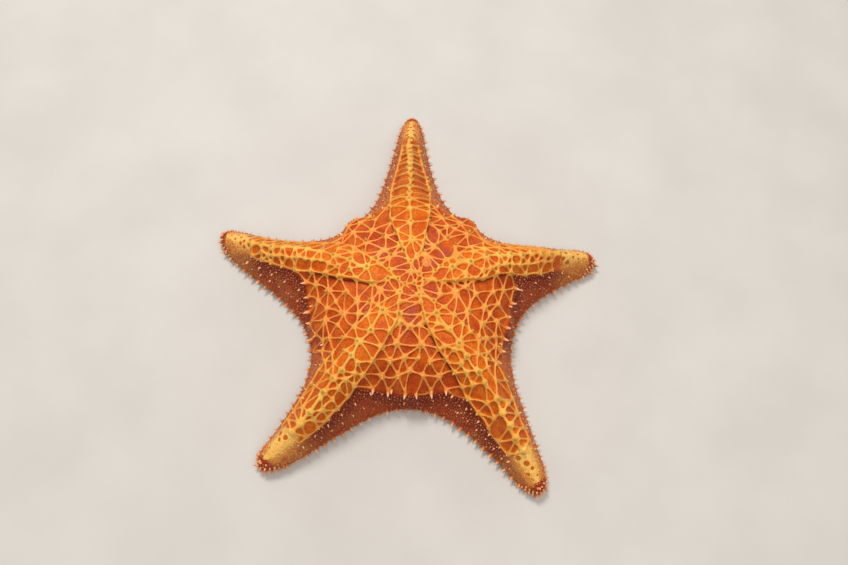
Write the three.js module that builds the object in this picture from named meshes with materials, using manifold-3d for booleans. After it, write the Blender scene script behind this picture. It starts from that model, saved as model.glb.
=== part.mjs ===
// A cushion sea star at life size, lying mouth down: a thick domed disc, five tapering arms, and the
// cones along their edges. Millimetres, +Z up. The origin is on the floor, in the middle of the area
// that the arms span.
//
// The body is one surface of ribs. A rib leaves the ridge line of an arm, or the disc's centre, crosses
// the top to the rim, drops down the flank to the outline and comes back underneath to the groove that
// holds the tube feet. Two half sectors mirror each other across each arm's ridge.
import * as THREE from 'three';
import { mergeVertices } from 'three/addons/utils/BufferGeometryUtils.js';
import Module from 'manifold-3d';

const wasm = await Module();
wasm.setup();

// ---- Driving dimensions ----
const DISC_CENTRE = new THREE.Vector2(5.1, -10.7);
const APEX_HEIGHT = 50;

// heading: the arm's direction from the disc in degrees; reach: disc centre to the tip of the flesh;
// bend: how far the tip is carried sideways, anticlockwise; girth: its width against the others;
// notch: disc centre to the body's edge in the notch between it and the next arm anticlockwise.
const ARMS = [
  { heading: 95.2, reach: 123.4, bend: -3.6, girth: 0.92, notch: 62.5 },
  { heading: 166.4, reach: 120.6, bend: -8.0, girth: 1.03, notch: 62 },
  { heading: 235.0, reach: 120.8, bend: -8.0, girth: 1.0, notch: 59 },
  { heading: 308.7, reach: 123.0, bend: -5.2, girth: 1.04, notch: 59.5 },
  { heading: 20.7, reach: 110.0, bend: -5.2, girth: 1.0, notch: 61.5 },
];
const BEND_START = 52; // the arms are straight up to here

// Outline of an arm, as half widths: a straight taper, a flare into the notch and a round tip.
const ROOT_HALF_WIDTH = 22.5;
const TAPER = 0.76;
const FLARE = 0.14;
const TIP_POWER = 20;
const TIP_INSET = 6; // how far the ridge line stops short of the tip
const TIP_INSET_POWER = 6;

// Heights
const TIP_HEIGHT = 10;
const RIDGE_POWER = 2.2;
const OUTLINE_HEIGHT = 4;
const ARM_CROWN = 1.6; // roundness across an arm, and across the disc between two arms
const DISC_CROWN = 2.3;
const FAN_LENGTH = 9; // how soon the ribs turn from the disc's fan to square across the arm

// The rim, where the top meets the flank. It lies far out in the notches, draws in beside the ridge along
// an arm, and widens again at the tip. Shares are of a rib's length, and on an arm of the ridge's height.
const RIM_HEIGHT = 23;
const ARM_RIM_HEIGHT_SHARE = 0.73;
const NOTCH_RIM_SHARE = 0.915;
const ARM_RIM_SHARE = 0.43;
const TIP_RIM_SHARE = 0.8;
const RIM_DRAWS_IN = { from: 8, to: 58 };
const RIM_WIDENS = { from: 85, to: 118 };
const FLANK_BULGE = 1.2;

// Underside, from the outline in to the groove. The caps are shares of a rib, for the short ribs at a tip.
const LIP = 3;
const PAD = 6; // the flat band that touches the floor
const BAND_CAP = 0.25;
const GROOVE_CAP = 0.35;
const SOLE_HEIGHT = 1.8;
const MOUTH_RADIUS = 6;
const GROOVE_HALF_WIDTH = 4.5;
const GROOVE_TIP_HALF_WIDTH = 1.8;
const GROOVE_DEPTH = 7;
const GROOVE_TIP_DEPTH = 2;
const GROOVE_SHOULDER = 0.75; // share of the depth that is reached half way into the groove

// Cones and knobs that grow from the body
const SPINE = { spacing: 5.8, length: 3.6, radius: 1.5, sunk: 1.8, tilt: 8, raised: 0.8, end: 0 };
const RIM_CONE = { spacing: 9, length: 2.4, radius: 1.6, sunk: 1.2, tilt: 42, end: 12 };
const RIDGE_KNOB = { spacing: 10, start: 13, end: 12, height: 1.5, radius: 1.8, top: 0.8, sunk: 1.2 };

// Parting
const ARM_CUT = 52; // distance from the disc's centre to the plane that parts an arm from it
const GAP = 0.3;
const UNCUT = 2; // cones and knobs keep this far from the parting planes
const CUTTER = { length: 100, width: 110, height: 160 };

// Mesh density
const RIBS = 14;
const TOP_STEPS = 4;
const FLANK_STEPS = 2;
const TABLE_STEPS = 600;
const CONE_SIDES = 4;
const KNOB_SIDES = 4;
const SIMPLIFIED_BY = 0.26; // facets that differ by less than this are joined

const SKIN = new THREE.MeshStandardMaterial({ color: 0xe0560c, roughness: 0.55, metalness: 0 });
const STONE = new THREE.MeshStandardMaterial({ color: 0xd9a06a, roughness: 0.7, metalness: 0 });
const MEMBRANE = new THREE.MeshStandardMaterial({ color: 0xb0703c, roughness: 0.5, metalness: 0 });
const FEET = new THREE.MeshStandardMaterial({ color: 0xe8c89a, roughness: 0.45, metalness: 0 });

const { degToRad, lerp, clamp, smoothstep } = THREE.MathUtils;

// ---- Outline and heights, in an arm's own coordinates: s along it, w to the side ----

// The notch on one side of an arm, +1 for anticlockwise: its direction from the arm and its radius.
function notchOf(index, side) {
  const next = (index + side + ARMS.length) % ARMS.length;
  const turn = (((ARMS[next].heading - ARMS[index].heading) * side) % 360 + 360) % 360;
  return { angle: degToRad(turn / 2), radius: ARMS[side > 0 ? index : next].notch };
}

function halfWidth(arm, notch, s) {
  const start = notch.radius * Math.cos(notch.angle);
  const u = clamp((s - start) / (arm.reach - start), 0, 1);
  const root = ROOT_HALF_WIDTH * arm.girth;
  const flare = (notch.radius * Math.sin(notch.angle) - root) * Math.exp(-u / FLARE);
  return (flare + root * (1 - TAPER * u)) * Math.sqrt(1 - u ** TIP_POWER);
}

// The outline from notch to tip as a table, with its running length and where each rib starts.
function outlineTable(arm, notch) {
  const start = notch.radius * Math.cos(notch.angle);
  const rows = [];
  let length = 0;
  for (let i = 0; i <= TABLE_STEPS; i++) {
    const s = arm.reach - (arm.reach - start) * (1 - i / TABLE_STEPS) ** 2;
    const w = i === TABLE_STEPS ? 0 : halfWidth(arm, notch, s);
    if (i > 0) length += Math.hypot(s - rows[i - 1].s, w - rows[i - 1].w);
    const u = (s - start) / (arm.reach - start);
    const inset = start * Math.exp(-length / FAN_LENGTH) + TIP_INSET * u ** TIP_INSET_POWER;
    const along = Math.max(0, s - inset);
    rows.push({ s, w, length, along, measure: length + along });
  }
  return rows;
}

function lookUp(rows, key, value) {
  let i = 1;
  while (i < rows.length - 1 && rows[i][key] < value) i++;
  const a = rows[i - 1];
  const b = rows[i];
  const t = clamp((value - a[key]) / Math.max(b[key] - a[key], 1e-9), 0, 1);
  return {
    s: lerp(a.s, b.s, t),
    w: lerp(a.w, b.w, t),
    length: lerp(a.length, b.length, t),
    along: lerp(a.along, b.along, t),
  };
}

// Where the ribs of both halves of an arm leave its ridge line.
function ribStarts(arm) {
  const rows = outlineTable(arm, { angle: Math.PI / ARMS.length, radius: arm.notch });
  const total = rows[TABLE_STEPS].measure;
  return Array.from({ length: RIBS + 1 }, (_, i) => lookUp(rows, 'measure', (total * i) / RIBS).along);
}

function ridgeHeight(arm, s) {
  return TIP_HEIGHT + (APEX_HEIGHT - TIP_HEIGHT) * (1 - (s / arm.reach) ** RIDGE_POWER);
}

// The rim on the rib that leaves the ridge line at a distance along an arm: its share and its height.
function rimAt(arm, along) {
  const drawn = smoothstep(along, RIM_DRAWS_IN.from, RIM_DRAWS_IN.to);
  const widened = smoothstep(along, RIM_WIDENS.from, RIM_WIDENS.to);
  return {
    share: lerp(lerp(NOTCH_RIM_SHARE, ARM_RIM_SHARE, drawn), TIP_RIM_SHARE, widened),
    height: lerp(RIM_HEIGHT, ridgeHeight(arm, along) * ARM_RIM_HEIGHT_SHARE, drawn),
  };
}

function grooveHalfWidth(arm, s) {
  const arms = lerp(GROOVE_HALF_WIDTH, GROOVE_TIP_HALF_WIDTH, s / arm.reach);
  return lerp(MOUTH_RADIUS, arms, clamp(s / (2 * MOUTH_RADIUS), 0, 1));
}

function grooveDepth(arm, s) {
  return lerp(GROOVE_DEPTH, GROOVE_TIP_DEPTH, s / arm.reach);
}

// ---- From an arm's coordinates to the model's ----

function place(arm, s, w, z) {
  const out = clamp((s - BEND_START) / (arm.reach - BEND_START), 0, 1);
  const across = w + arm.bend * out ** 2;
  const point = new THREE.Vector2(s, across).rotateAround(new THREE.Vector2(), degToRad(arm.heading));
  return new THREE.Vector3(point.x + DISC_CENTRE.x, point.y + DISC_CENTRE.y, z);
}

// ---- The body ----

// One rib, from the ridge line over the top and round to the groove underneath, as [share, height]:
// share 0 is the ridge line and 1 is the outline.
function ribProfile(arm, rib, length) {
  const ridge = ridgeHeight(arm, rib.along);
  const rim = rimAt(arm, rib.along);
  const crown = lerp(ARM_CROWN, DISC_CROWN, 1 - rib.along / rib.s);
  const profile = [];
  for (let i = 0; i <= TOP_STEPS; i++) {
    const a = i / TOP_STEPS;
    profile.push([a * rim.share, lerp(ridge, rim.height, a ** crown)]);
  }
  for (let i = 1; i <= FLANK_STEPS; i++) {
    const t = i / FLANK_STEPS;
    profile.push([lerp(rim.share, 1, t), lerp(rim.height, OUTLINE_HEIGHT, t ** FLANK_BULGE)]);
  }
  const lip = Math.min(LIP / length, BAND_CAP);
  const pad = Math.min(PAD / length, BAND_CAP);
  const groove = Math.min(grooveHalfWidth(arm, rib.along) / length, GROOVE_CAP);
  const depth = grooveDepth(arm, rib.along);
  profile.push([1 - lip, 0]);
  profile.push([1 - lip - pad, 0]);
  profile.push([groove, SOLE_HEIGHT]);
  profile.push([groove / 2, SOLE_HEIGHT + GROOVE_SHOULDER * depth]);
  profile.push([0, SOLE_HEIGHT + depth]);
  return profile;
}

function halfSector(index, side, triangles) {
  const arm = ARMS[index];
  const rows = outlineTable(arm, notchOf(index, side));
  const ribs = ribStarts(arm).map((along, i) => {
    const outer = i === RIBS ? rows[TABLE_STEPS] : lookUp(rows, 'along', along);
    const length = Math.hypot(outer.s - along, outer.w);
    return ribProfile(arm, { ...outer, along }, length).map(([share, z]) =>
      place(arm, lerp(along, outer.s, share), side * outer.w * share, z));
  });
  for (let i = 0; i < ribs.length - 1; i++) {
    for (let j = 0; j < ribs[i].length - 1; j++) {
      const quad = [ribs[i][j], ribs[i + 1][j], ribs[i + 1][j + 1], ribs[i][j + 1]];
      if (side < 0) quad.reverse();
      triangles.push(quad[0], quad[1], quad[2], quad[0], quad[2], quad[3]);
    }
  }
}

// ---- Solids ----

function solidFromGeometry(geometry) {
  const plain = geometry.index ? geometry.toNonIndexed() : geometry.clone();
  plain.deleteAttribute('normal');
  plain.deleteAttribute('uv');
  const merged = mergeVertices(plain, 1e-3);
  const index = merged.index.array;
  const kept = [];
  for (let i = 0; i < index.length; i += 3) {
    const [a, b, c] = index.slice(i, i + 3);
    if (a !== b && b !== c && c !== a) kept.push(a, b, c);
  }
  return new wasm.Manifold(new wasm.Mesh({
    numProp: 3,
    vertProperties: new Float32Array(merged.attributes.position.array),
    triVerts: new Uint32Array(kept),
  }));
}

function geometryFromSolid(solid) {
  const mesh = solid.getMesh();
  const geometry = new THREE.BufferGeometry();
  geometry.setAttribute('position', new THREE.BufferAttribute(mesh.vertProperties, 3));
  geometry.setIndex(new THREE.BufferAttribute(mesh.triVerts, 1));
  geometry.computeVertexNormals();
  return geometry;
}

function bodySolid() {
  const triangles = [];
  ARMS.forEach((_, index) => {
    halfSector(index, 1, triangles);
    halfSector(index, -1, triangles);
  });
  return solidFromGeometry(new THREE.BufferGeometry().setFromPoints(triangles));
}

// A cone or knob with its base at a point, pointing along a direction.
function grownSolid(geometry, length, sunk, point, direction) {
  const turn = new THREE.Quaternion().setFromUnitVectors(new THREE.Vector3(0, 1, 0), direction);
  geometry.translate(0, length / 2 - sunk, 0);
  geometry.applyQuaternion(turn);
  geometry.translate(point.x, point.y, point.z);
  return solidFromGeometry(geometry);
}

function outwards(from, to, tilt) {
  const flat = new THREE.Vector3(to.x - from.x, to.y - from.y, 0).normalize();
  const up = degToRad(tilt);
  return flat.multiplyScalar(Math.cos(up)).setZ(Math.sin(up));
}

// How far a point lies past the plane that parts an arm from the disc.
function pastCut(arm, point) {
  const heading = degToRad(arm.heading);
  const x = (point.x - DISC_CENTRE.x) * Math.cos(heading);
  const y = (point.y - DISC_CENTRE.y) * Math.sin(heading);
  return x + y - ARM_CUT;
}

function clearOfCuts(base, direction, length) {
  const end = base.clone().addScaledVector(direction, length);
  return ARMS.every((arm) => {
    const [from, to] = [pastCut(arm, base), pastCut(arm, end)];
    return from * to > 0 && Math.min(Math.abs(from), Math.abs(to)) > UNCUT;
  });
}

// Cones along one half outline at even spacing, on the outline itself or up on the rim.
function edgeCones(index, side, kind, onRim) {
  const arm = ARMS[index];
  const rows = outlineTable(arm, notchOf(index, side));
  const total = rows[TABLE_STEPS].length - kind.end;
  const count = Math.round(total / kind.spacing);
  const cones = [];
  for (let i = 0; i < count; i++) {
    const here = lookUp(rows, 'length', ((i + 0.5) * total) / count);
    const before = lookUp(rows, 'length', ((i + 0.4) * total) / count);
    const after = lookUp(rows, 'length', ((i + 0.6) * total) / count);
    const rim = rimAt(arm, here.along);
    const share = onRim ? rim.share : 1;
    const z = onRim ? rim.height : OUTLINE_HEIGHT + kind.raised;
    const point = place(arm, lerp(here.along, here.s, share), side * here.w * share, z);
    const run = place(arm, after.s, side * after.w, 0).sub(place(arm, before.s, side * before.w, 0));
    const square = new THREE.Vector3(-run.y, run.x, 0).multiplyScalar(side);
    const direction = outwards(new THREE.Vector3(), square, kind.tilt);
    if (!clearOfCuts(point, direction, kind.length)) continue;
    const cone = new THREE.ConeGeometry(kind.radius, kind.length + kind.sunk, CONE_SIDES);
    cones.push(grownSolid(cone, kind.length + kind.sunk, kind.sunk, point, direction));
  }
  return cones;
}

// Knobs along the ridge of one arm.
function ridgeKnobs(arm) {
  const run = arm.reach - RIDGE_KNOB.end - RIDGE_KNOB.start;
  const count = Math.round(run / RIDGE_KNOB.spacing);
  const height = RIDGE_KNOB.height + RIDGE_KNOB.sunk;
  const up = new THREE.Vector3(0, 0, 1);
  const knobs = [];
  for (let i = 0; i <= count; i++) {
    const s = RIDGE_KNOB.start + (run * i) / count;
    const point = place(arm, s, 0, ridgeHeight(arm, s));
    if (!clearOfCuts(point, up, RIDGE_KNOB.height)) continue;
    const knob = new THREE.CylinderGeometry(RIDGE_KNOB.top, RIDGE_KNOB.radius, height, KNOB_SIDES);
    knobs.push(grownSolid(knob, height, RIDGE_KNOB.sunk, point, up));
  }
  return knobs;
}

// A block that covers everything past a plane square to an arm.
function beyondPlane(arm, distance) {
  const block = new THREE.BoxGeometry(CUTTER.length, CUTTER.width, CUTTER.height);
  block.translate(distance + CUTTER.length / 2, 0, 0);
  block.rotateZ(degToRad(arm.heading));
  block.translate(DISC_CENTRE.x, DISC_CENTRE.y, 0);
  return solidFromGeometry(block);
}

// ---- Small parts ----

// The sieve plate: a low button on the disc, between two arms.
const SIEVE = { arm: 0, side: -1, radius: 2.8, distance: 11.5, height: 1.1, skirt: 1.4 };

function sieveGeometry(margin) {
  const steps = 4;
  const radius = SIEVE.radius + margin;
  const dome = Array.from({ length: steps + 1 }, (_, i) => {
    const angle = (i / steps) * (Math.PI / 2);
    return new THREE.Vector2(radius * Math.cos(angle), (SIEVE.height + margin) * Math.sin(angle));
  });
  dome[steps].x = 0;
  const profile = [new THREE.Vector2(0, -SIEVE.skirt - margin), new THREE.Vector2(radius, -SIEVE.skirt - margin)];
  const geometry = new THREE.LatheGeometry([...profile, ...dome], 14);
  geometry.rotateX(Math.PI / 2);
  const notch = notchOf(SIEVE.arm, SIEVE.side);
  const turn = degToRad(ARMS[SIEVE.arm].heading) + SIEVE.side * notch.angle;
  const share = SIEVE.distance / (notch.radius * NOTCH_RIM_SHARE);
  const z = lerp(APEX_HEIGHT, RIM_HEIGHT, share ** DISC_CROWN);
  geometry.translate(
    DISC_CENTRE.x + SIEVE.distance * Math.cos(turn),
    DISC_CENTRE.y + SIEVE.distance * Math.sin(turn),
    z,
  );
  return geometry;
}

// The membrane round the mouth, up inside the recess where the grooves meet.
function mouthGeometry() {
  const profile = [[0, 4.6], [1.2, 4.2], [2.5, 4.8], [2.6, 5.6], [1.6, 6.6], [0, 7.4]];
  return new THREE.LatheGeometry(profile.map(([r, z]) => new THREE.Vector2(r, z)), 15)
    .rotateX(Math.PI / 2)
    .translate(DISC_CENTRE.x, DISC_CENTRE.y, 0);
}

// The double row of tube feet in one groove, as the strip that they fill.
const FEET_STRIP = { start: 14, end: 14, share: 0.4, clear: 1.1, low: 0.6, steps: 7 };

function feetGeometry(arm) {
  const triangles = [];
  const sections = [];
  for (let i = 0; i <= FEET_STRIP.steps; i++) {
    const s = lerp(FEET_STRIP.start, arm.reach - FEET_STRIP.end, i / FEET_STRIP.steps);
    const wide = grooveHalfWidth(arm, s) * FEET_STRIP.share;
    const roof = SOLE_HEIGHT + GROOVE_SHOULDER * grooveDepth(arm, s);
    const high = roof - FEET_STRIP.clear;
    const corners = [[wide, FEET_STRIP.low], [wide, high], [-wide, high], [-wide, FEET_STRIP.low]];
    sections.push(corners.map(([w, z]) => place(arm, s, w, z)));
  }
  const quad = (a, b, c, d) => triangles.push(a, c, b, a, d, c);
  for (let i = 0; i < FEET_STRIP.steps; i++) {
    for (let j = 0; j < 4; j++) {
      const k = (j + 1) % 4;
      quad(sections[i][j], sections[i + 1][j], sections[i + 1][k], sections[i][k]);
    }
  }
  quad(...sections[0]);
  quad(...sections[FEET_STRIP.steps].slice().reverse());
  return new THREE.BufferGeometry().setFromPoints(triangles);
}

// ---- Assembly ----

function named(name, geometry, material) {
  const mesh = new THREE.Mesh(geometry, material);
  mesh.name = name;
  return mesh;
}

const grown = [];
ARMS.forEach((arm, index) => {
  for (const side of [1, -1]) {
    grown.push(...edgeCones(index, side, SPINE, false));
    grown.push(...edgeCones(index, side, RIM_CONE, true));
  }
  grown.push(...ridgeKnobs(arm));
});
const body = wasm.Manifold.union([bodySolid(), ...grown]).simplify(SIMPLIFIED_BY);

const group = new THREE.Group();
let disc = body;
ARMS.forEach((arm, index) => {
  const armSolid = body.intersect(beyondPlane(arm, ARM_CUT));
  disc = disc.subtract(beyondPlane(arm, ARM_CUT - GAP));
  group.add(named(`arm_${index + 1}`, geometryFromSolid(armSolid), SKIN));
  group.add(named(`tube_feet_${index + 1}`, geometryFromSolid(solidFromGeometry(feetGeometry(arm))), FEET));
});
disc = disc.subtract(solidFromGeometry(sieveGeometry(GAP)));
group.add(named('disc', geometryFromSolid(disc), SKIN));
group.add(named('sieve_plate', geometryFromSolid(solidFromGeometry(sieveGeometry(0))), STONE));
group.add(named('mouth', geometryFromSolid(solidFromGeometry(mouthGeometry())), MEMBRANE));

export default group;
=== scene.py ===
"""A cushion sea star at life size: the skin with its raised network, spines, tube feet, mouth and sieve
plate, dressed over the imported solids. Shapes are worked out in millimetres and stored in metres."""
import math

import bpy
import numpy as np
from mathutils import Matrix, Vector
from mathutils.bvhtree import BVHTree
from mathutils.geometry import delaunay_2d_cdt
from mathutils.kdtree import KDTree


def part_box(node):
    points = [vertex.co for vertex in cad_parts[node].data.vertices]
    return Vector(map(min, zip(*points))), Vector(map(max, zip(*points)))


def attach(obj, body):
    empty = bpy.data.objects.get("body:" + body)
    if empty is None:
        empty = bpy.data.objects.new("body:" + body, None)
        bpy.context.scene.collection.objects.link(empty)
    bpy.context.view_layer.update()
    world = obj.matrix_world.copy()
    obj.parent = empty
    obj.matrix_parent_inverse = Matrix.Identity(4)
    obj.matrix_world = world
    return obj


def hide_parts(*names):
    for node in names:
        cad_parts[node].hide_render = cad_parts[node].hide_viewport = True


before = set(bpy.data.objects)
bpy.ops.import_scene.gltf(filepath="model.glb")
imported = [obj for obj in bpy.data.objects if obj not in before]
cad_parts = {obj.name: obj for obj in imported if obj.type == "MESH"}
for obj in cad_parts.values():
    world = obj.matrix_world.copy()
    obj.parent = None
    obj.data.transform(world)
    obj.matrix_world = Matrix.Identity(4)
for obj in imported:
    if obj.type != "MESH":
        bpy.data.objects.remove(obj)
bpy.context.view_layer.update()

MM = 0.001
rng = np.random.default_rng(41)

# ---- The body's driving sizes, the same as the solids' (millimetres, degrees) ----

CENTRE = np.array([5.1, -10.7])
APEX_HEIGHT = 50
BEND_START = 52
ROOT_HALF_WIDTH = 22.5
TAPER = 0.76
FLARE = 0.14
TIP_POWER = 20
TIP_INSET = 6
TIP_INSET_POWER = 6
TIP_HEIGHT = 10
RIDGE_POWER = 2.2
OUTLINE_HEIGHT = 4
ARM_CROWN = 1.6
DISC_CROWN = 2.3
FAN_LENGTH = 9
RIM_HEIGHT = 23
ARM_RIM_HEIGHT_SHARE = 0.73
NOTCH_RIM_SHARE = 0.915
ARM_RIM_SHARE = 0.43
TIP_RIM_SHARE = 0.8
RIM_DRAWS_IN = (8, 58)
RIM_WIDENS = (85, 118)
FLANK_BULGE = 1.2
LIP = 3
PAD = 6
BAND_CAP = 0.25
GROOVE_CAP = 0.35
SOLE_HEIGHT = 1.8
MOUTH_RADIUS = 6
GROOVE_HALF_WIDTH = 4.5
GROOVE_TIP_HALF_WIDTH = 1.8
GROOVE_DEPTH = 7
GROOVE_TIP_DEPTH = 2
GROOVE_SHOULDER = 0.75
TABLE_STEPS = 600


def lerp(a, b, t):
    return a + (b - a) * t


def smooth(x, low, high):
    t = np.clip((x - low) / (high - low), 0, 1)
    return t * t * (3 - 2 * t)


class Arm:
    """One arm. s runs along it from the disc's centre, w across it, positive anticlockwise."""

    def __init__(self, heading, reach, bend, girth, notch):
        self.angle = math.radians(heading)
        self.reach = reach
        self.bend = bend
        self.girth = girth
        self.notch = notch
        self.along = np.array([math.cos(self.angle), math.sin(self.angle)])
        self.across = np.array([-math.sin(self.angle), math.cos(self.angle)])

    def carried(self, s):
        return self.bend * np.clip((s - BEND_START) / (self.reach - BEND_START), 0, 1) ** 2

    def place(self, s, w):
        s, w = np.broadcast_arrays(np.asarray(s, float), np.asarray(w, float))
        return CENTRE + s[..., None] * self.along + (w + self.carried(s))[..., None] * self.across

    def coordinates(self, xy):
        rel = xy - CENTRE
        s = rel @ self.along
        return s, rel @ self.across - self.carried(s)

    def ridge_height(self, s):
        rise = 1 - (np.clip(s, 0, self.reach) / self.reach) ** RIDGE_POWER
        return TIP_HEIGHT + (APEX_HEIGHT - TIP_HEIGHT) * rise

    def rim(self, along):
        """Share of the rib, and height, of the rim on the rib that leaves the ridge at this distance."""
        drawn = smooth(along, *RIM_DRAWS_IN)
        widened = smooth(along, *RIM_WIDENS)
        share = lerp(lerp(NOTCH_RIM_SHARE, ARM_RIM_SHARE, drawn), TIP_RIM_SHARE, widened)
        return share, lerp(RIM_HEIGHT, self.ridge_height(along) * ARM_RIM_HEIGHT_SHARE, drawn)

    def groove_half_width(self, s):
        arms = lerp(GROOVE_HALF_WIDTH, GROOVE_TIP_HALF_WIDTH, s / self.reach)
        return lerp(MOUTH_RADIUS, arms, np.clip(s / (2 * MOUTH_RADIUS), 0, 1))

    def groove_depth(self, s):
        return lerp(GROOVE_DEPTH, GROOVE_TIP_DEPTH, s / self.reach)


# Heading in degrees, reach, sideways bend at the tip, share of the usual girth, radius of the next notch
ARMS = [
    Arm(95.2, 123.4, -3.6, 0.92, 62.5),
    Arm(166.4, 120.6, -8.0, 1.03, 62),
    Arm(235.0, 120.8, -8.0, 1.0, 59),
    Arm(308.7, 123.0, -5.2, 1.04, 59.5),
    Arm(20.7, 110.0, -5.2, 1.0, 61.5),
]


def notch_of(index, side):
    """The notch on one side of an arm: its angle from the arm, in radians, and its radius."""
    other = (index + side) % len(ARMS)
    turn = (ARMS[other].angle - ARMS[index].angle) * side % (2 * math.pi)
    return turn / 2, ARMS[index if side > 0 else other].notch


class Half:
    """Half an arm with its share of the disc: tables of its outline from the notch to the tip."""

    def __init__(self, index, side):
        self.arm = arm = ARMS[index]
        self.side = side
        self.notch_angle, radius = notch_of(index, side)
        table = self.outline(self.notch_angle, radius)
        self.s, self.w, self.length, self.along, _ = table
        share, _ = arm.rim(self.along)
        self.rim_s = lerp(self.along, self.s, share)
        self.rim_w = self.w * share

    def outline(self, angle, radius):
        arm = self.arm
        start = radius * math.cos(angle)
        s = arm.reach - (arm.reach - start) * (1 - np.arange(TABLE_STEPS + 1) / TABLE_STEPS) ** 2
        u = np.clip((s - start) / (arm.reach - start), 0, 1)
        root = ROOT_HALF_WIDTH * arm.girth
        flare = (radius * math.sin(angle) - root) * np.exp(-u / FLARE)
        w = (flare + root * (1 - TAPER * u)) * np.sqrt(1 - u ** TIP_POWER)
        length = np.concatenate([[0], np.cumsum(np.hypot(np.diff(s), np.diff(w)))])
        inset = start * np.exp(-length / FAN_LENGTH) + TIP_INSET * u ** TIP_INSET_POWER
        along = np.maximum(0, s - inset)
        return s, w, length, along, length + along

    def ribs(self, count):
        """Along the ridge line, then s and w on the outline, for evenly spaced ribs."""
        _, _, _, along, measure = self.outline(math.pi / len(ARMS), self.arm.notch)
        starts = np.interp(np.linspace(0, measure[-1], count + 1), measure, along)
        s = np.interp(starts, self.along, self.s)
        w = np.interp(starts, self.along, self.w)
        s[-1], w[-1] = self.s[-1], 0
        return starts, s, w

    def place(self, s, w):
        return self.arm.place(s, self.side * np.asarray(w))


HALVES = [Half(index, side) for index in range(len(ARMS)) for side in (-1, 1)]

# ---- Mesh helpers ----


def new_object(name, points_mm, faces, material=None, shade_smooth=True):
    mesh = bpy.data.meshes.new(name)
    mesh.from_pydata((np.asarray(points_mm) * MM).tolist(), [], [tuple(map(int, f)) for f in faces])
    mesh.update()
    if shade_smooth:
        mesh.polygons.foreach_set("use_smooth", np.ones(len(mesh.polygons), bool))
    obj = bpy.data.objects.new(name, mesh)
    bpy.context.scene.collection.objects.link(obj)
    if material:
        mesh.materials.append(material)
    return obj


def add_attribute(obj, name, values):
    attribute = obj.data.attributes.new(name, "FLOAT", "POINT")
    attribute.data.foreach_set("value", np.asarray(values, np.float32))


def points_of(obj):
    points = np.empty(len(obj.data.vertices) * 3)
    obj.data.vertices.foreach_get("co", points)
    return points.reshape(-1, 3) / MM


def set_points(obj, points_mm):
    obj.data.vertices.foreach_set("co", (points_mm * MM).ravel())
    obj.data.update()


def normals_of(obj):
    normals = np.empty(len(obj.data.vertices) * 3, np.float32)
    obj.data.vertex_normals.foreach_get("vector", normals)
    return normals.reshape(-1, 3).astype(float)


def relax(points, edges, rounds, amount):
    """Each point moves towards the mean of its neighbours."""
    a, b = edges.T
    count = np.bincount(edges.ravel(), minlength=len(points)).astype(float)[:, None]
    for _ in range(rounds):
        total = np.empty_like(points)
        for axis in range(points.shape[1]):
            total[:, axis] = (np.bincount(a, points[b, axis], len(points))
                              + np.bincount(b, points[a, axis], len(points)))
        points = points + (total / count - points) * amount
    return points


def edges_of(obj):
    edges = np.empty(len(obj.data.edges) * 2, np.int32)
    obj.data.edges.foreach_get("vertices", edges)
    return edges.reshape(-1, 2)


class Loop:
    """A closed line in plan, anticlockwise, for signed distances: positive inside."""

    STEP = 0.4

    def __init__(self, points):
        closed = np.vstack([points, points[:1]])
        run = np.concatenate([[0], np.cumsum(np.linalg.norm(np.diff(closed, axis=0), axis=1))])
        at = np.arange(0, run[-1], self.STEP)
        self.points = np.stack([np.interp(at, run, closed[:, k]) for k in (0, 1)], axis=1)
        ahead = np.roll(self.points, -1, axis=0) - np.roll(self.points, 1, axis=0)
        self.inward = np.stack([-ahead[:, 1], ahead[:, 0]], axis=1)
        self.inward /= np.linalg.norm(self.inward, axis=1, keepdims=True)
        self.tree = KDTree(len(self.points))
        for i, (x, y) in enumerate(self.points):
            self.tree.insert((x, y, 0), i)
        self.tree.balance()

    def nearest(self, xy):
        return np.array([self.tree.find((x, y, 0))[1] for x, y in xy], int)

    def distance(self, xy):
        index = self.nearest(xy)
        rel = xy - self.points[index]
        size = np.linalg.norm(rel, axis=1)
        return size * np.sign(np.einsum("ij,ij->i", rel, self.inward[index]) + 1e-9)


# ---- The bare body ----

BODY_RIBS = 110
TOP_ROWS = 26
FLANK_ROWS = 10
UNDER_ROWS = 8
LIP_TURNS = 5
GROOVE_ROWS_ACROSS = 6
VOXEL = 0.55
SMOOTH_ROUNDS = 4
WELD = 0.01


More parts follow.
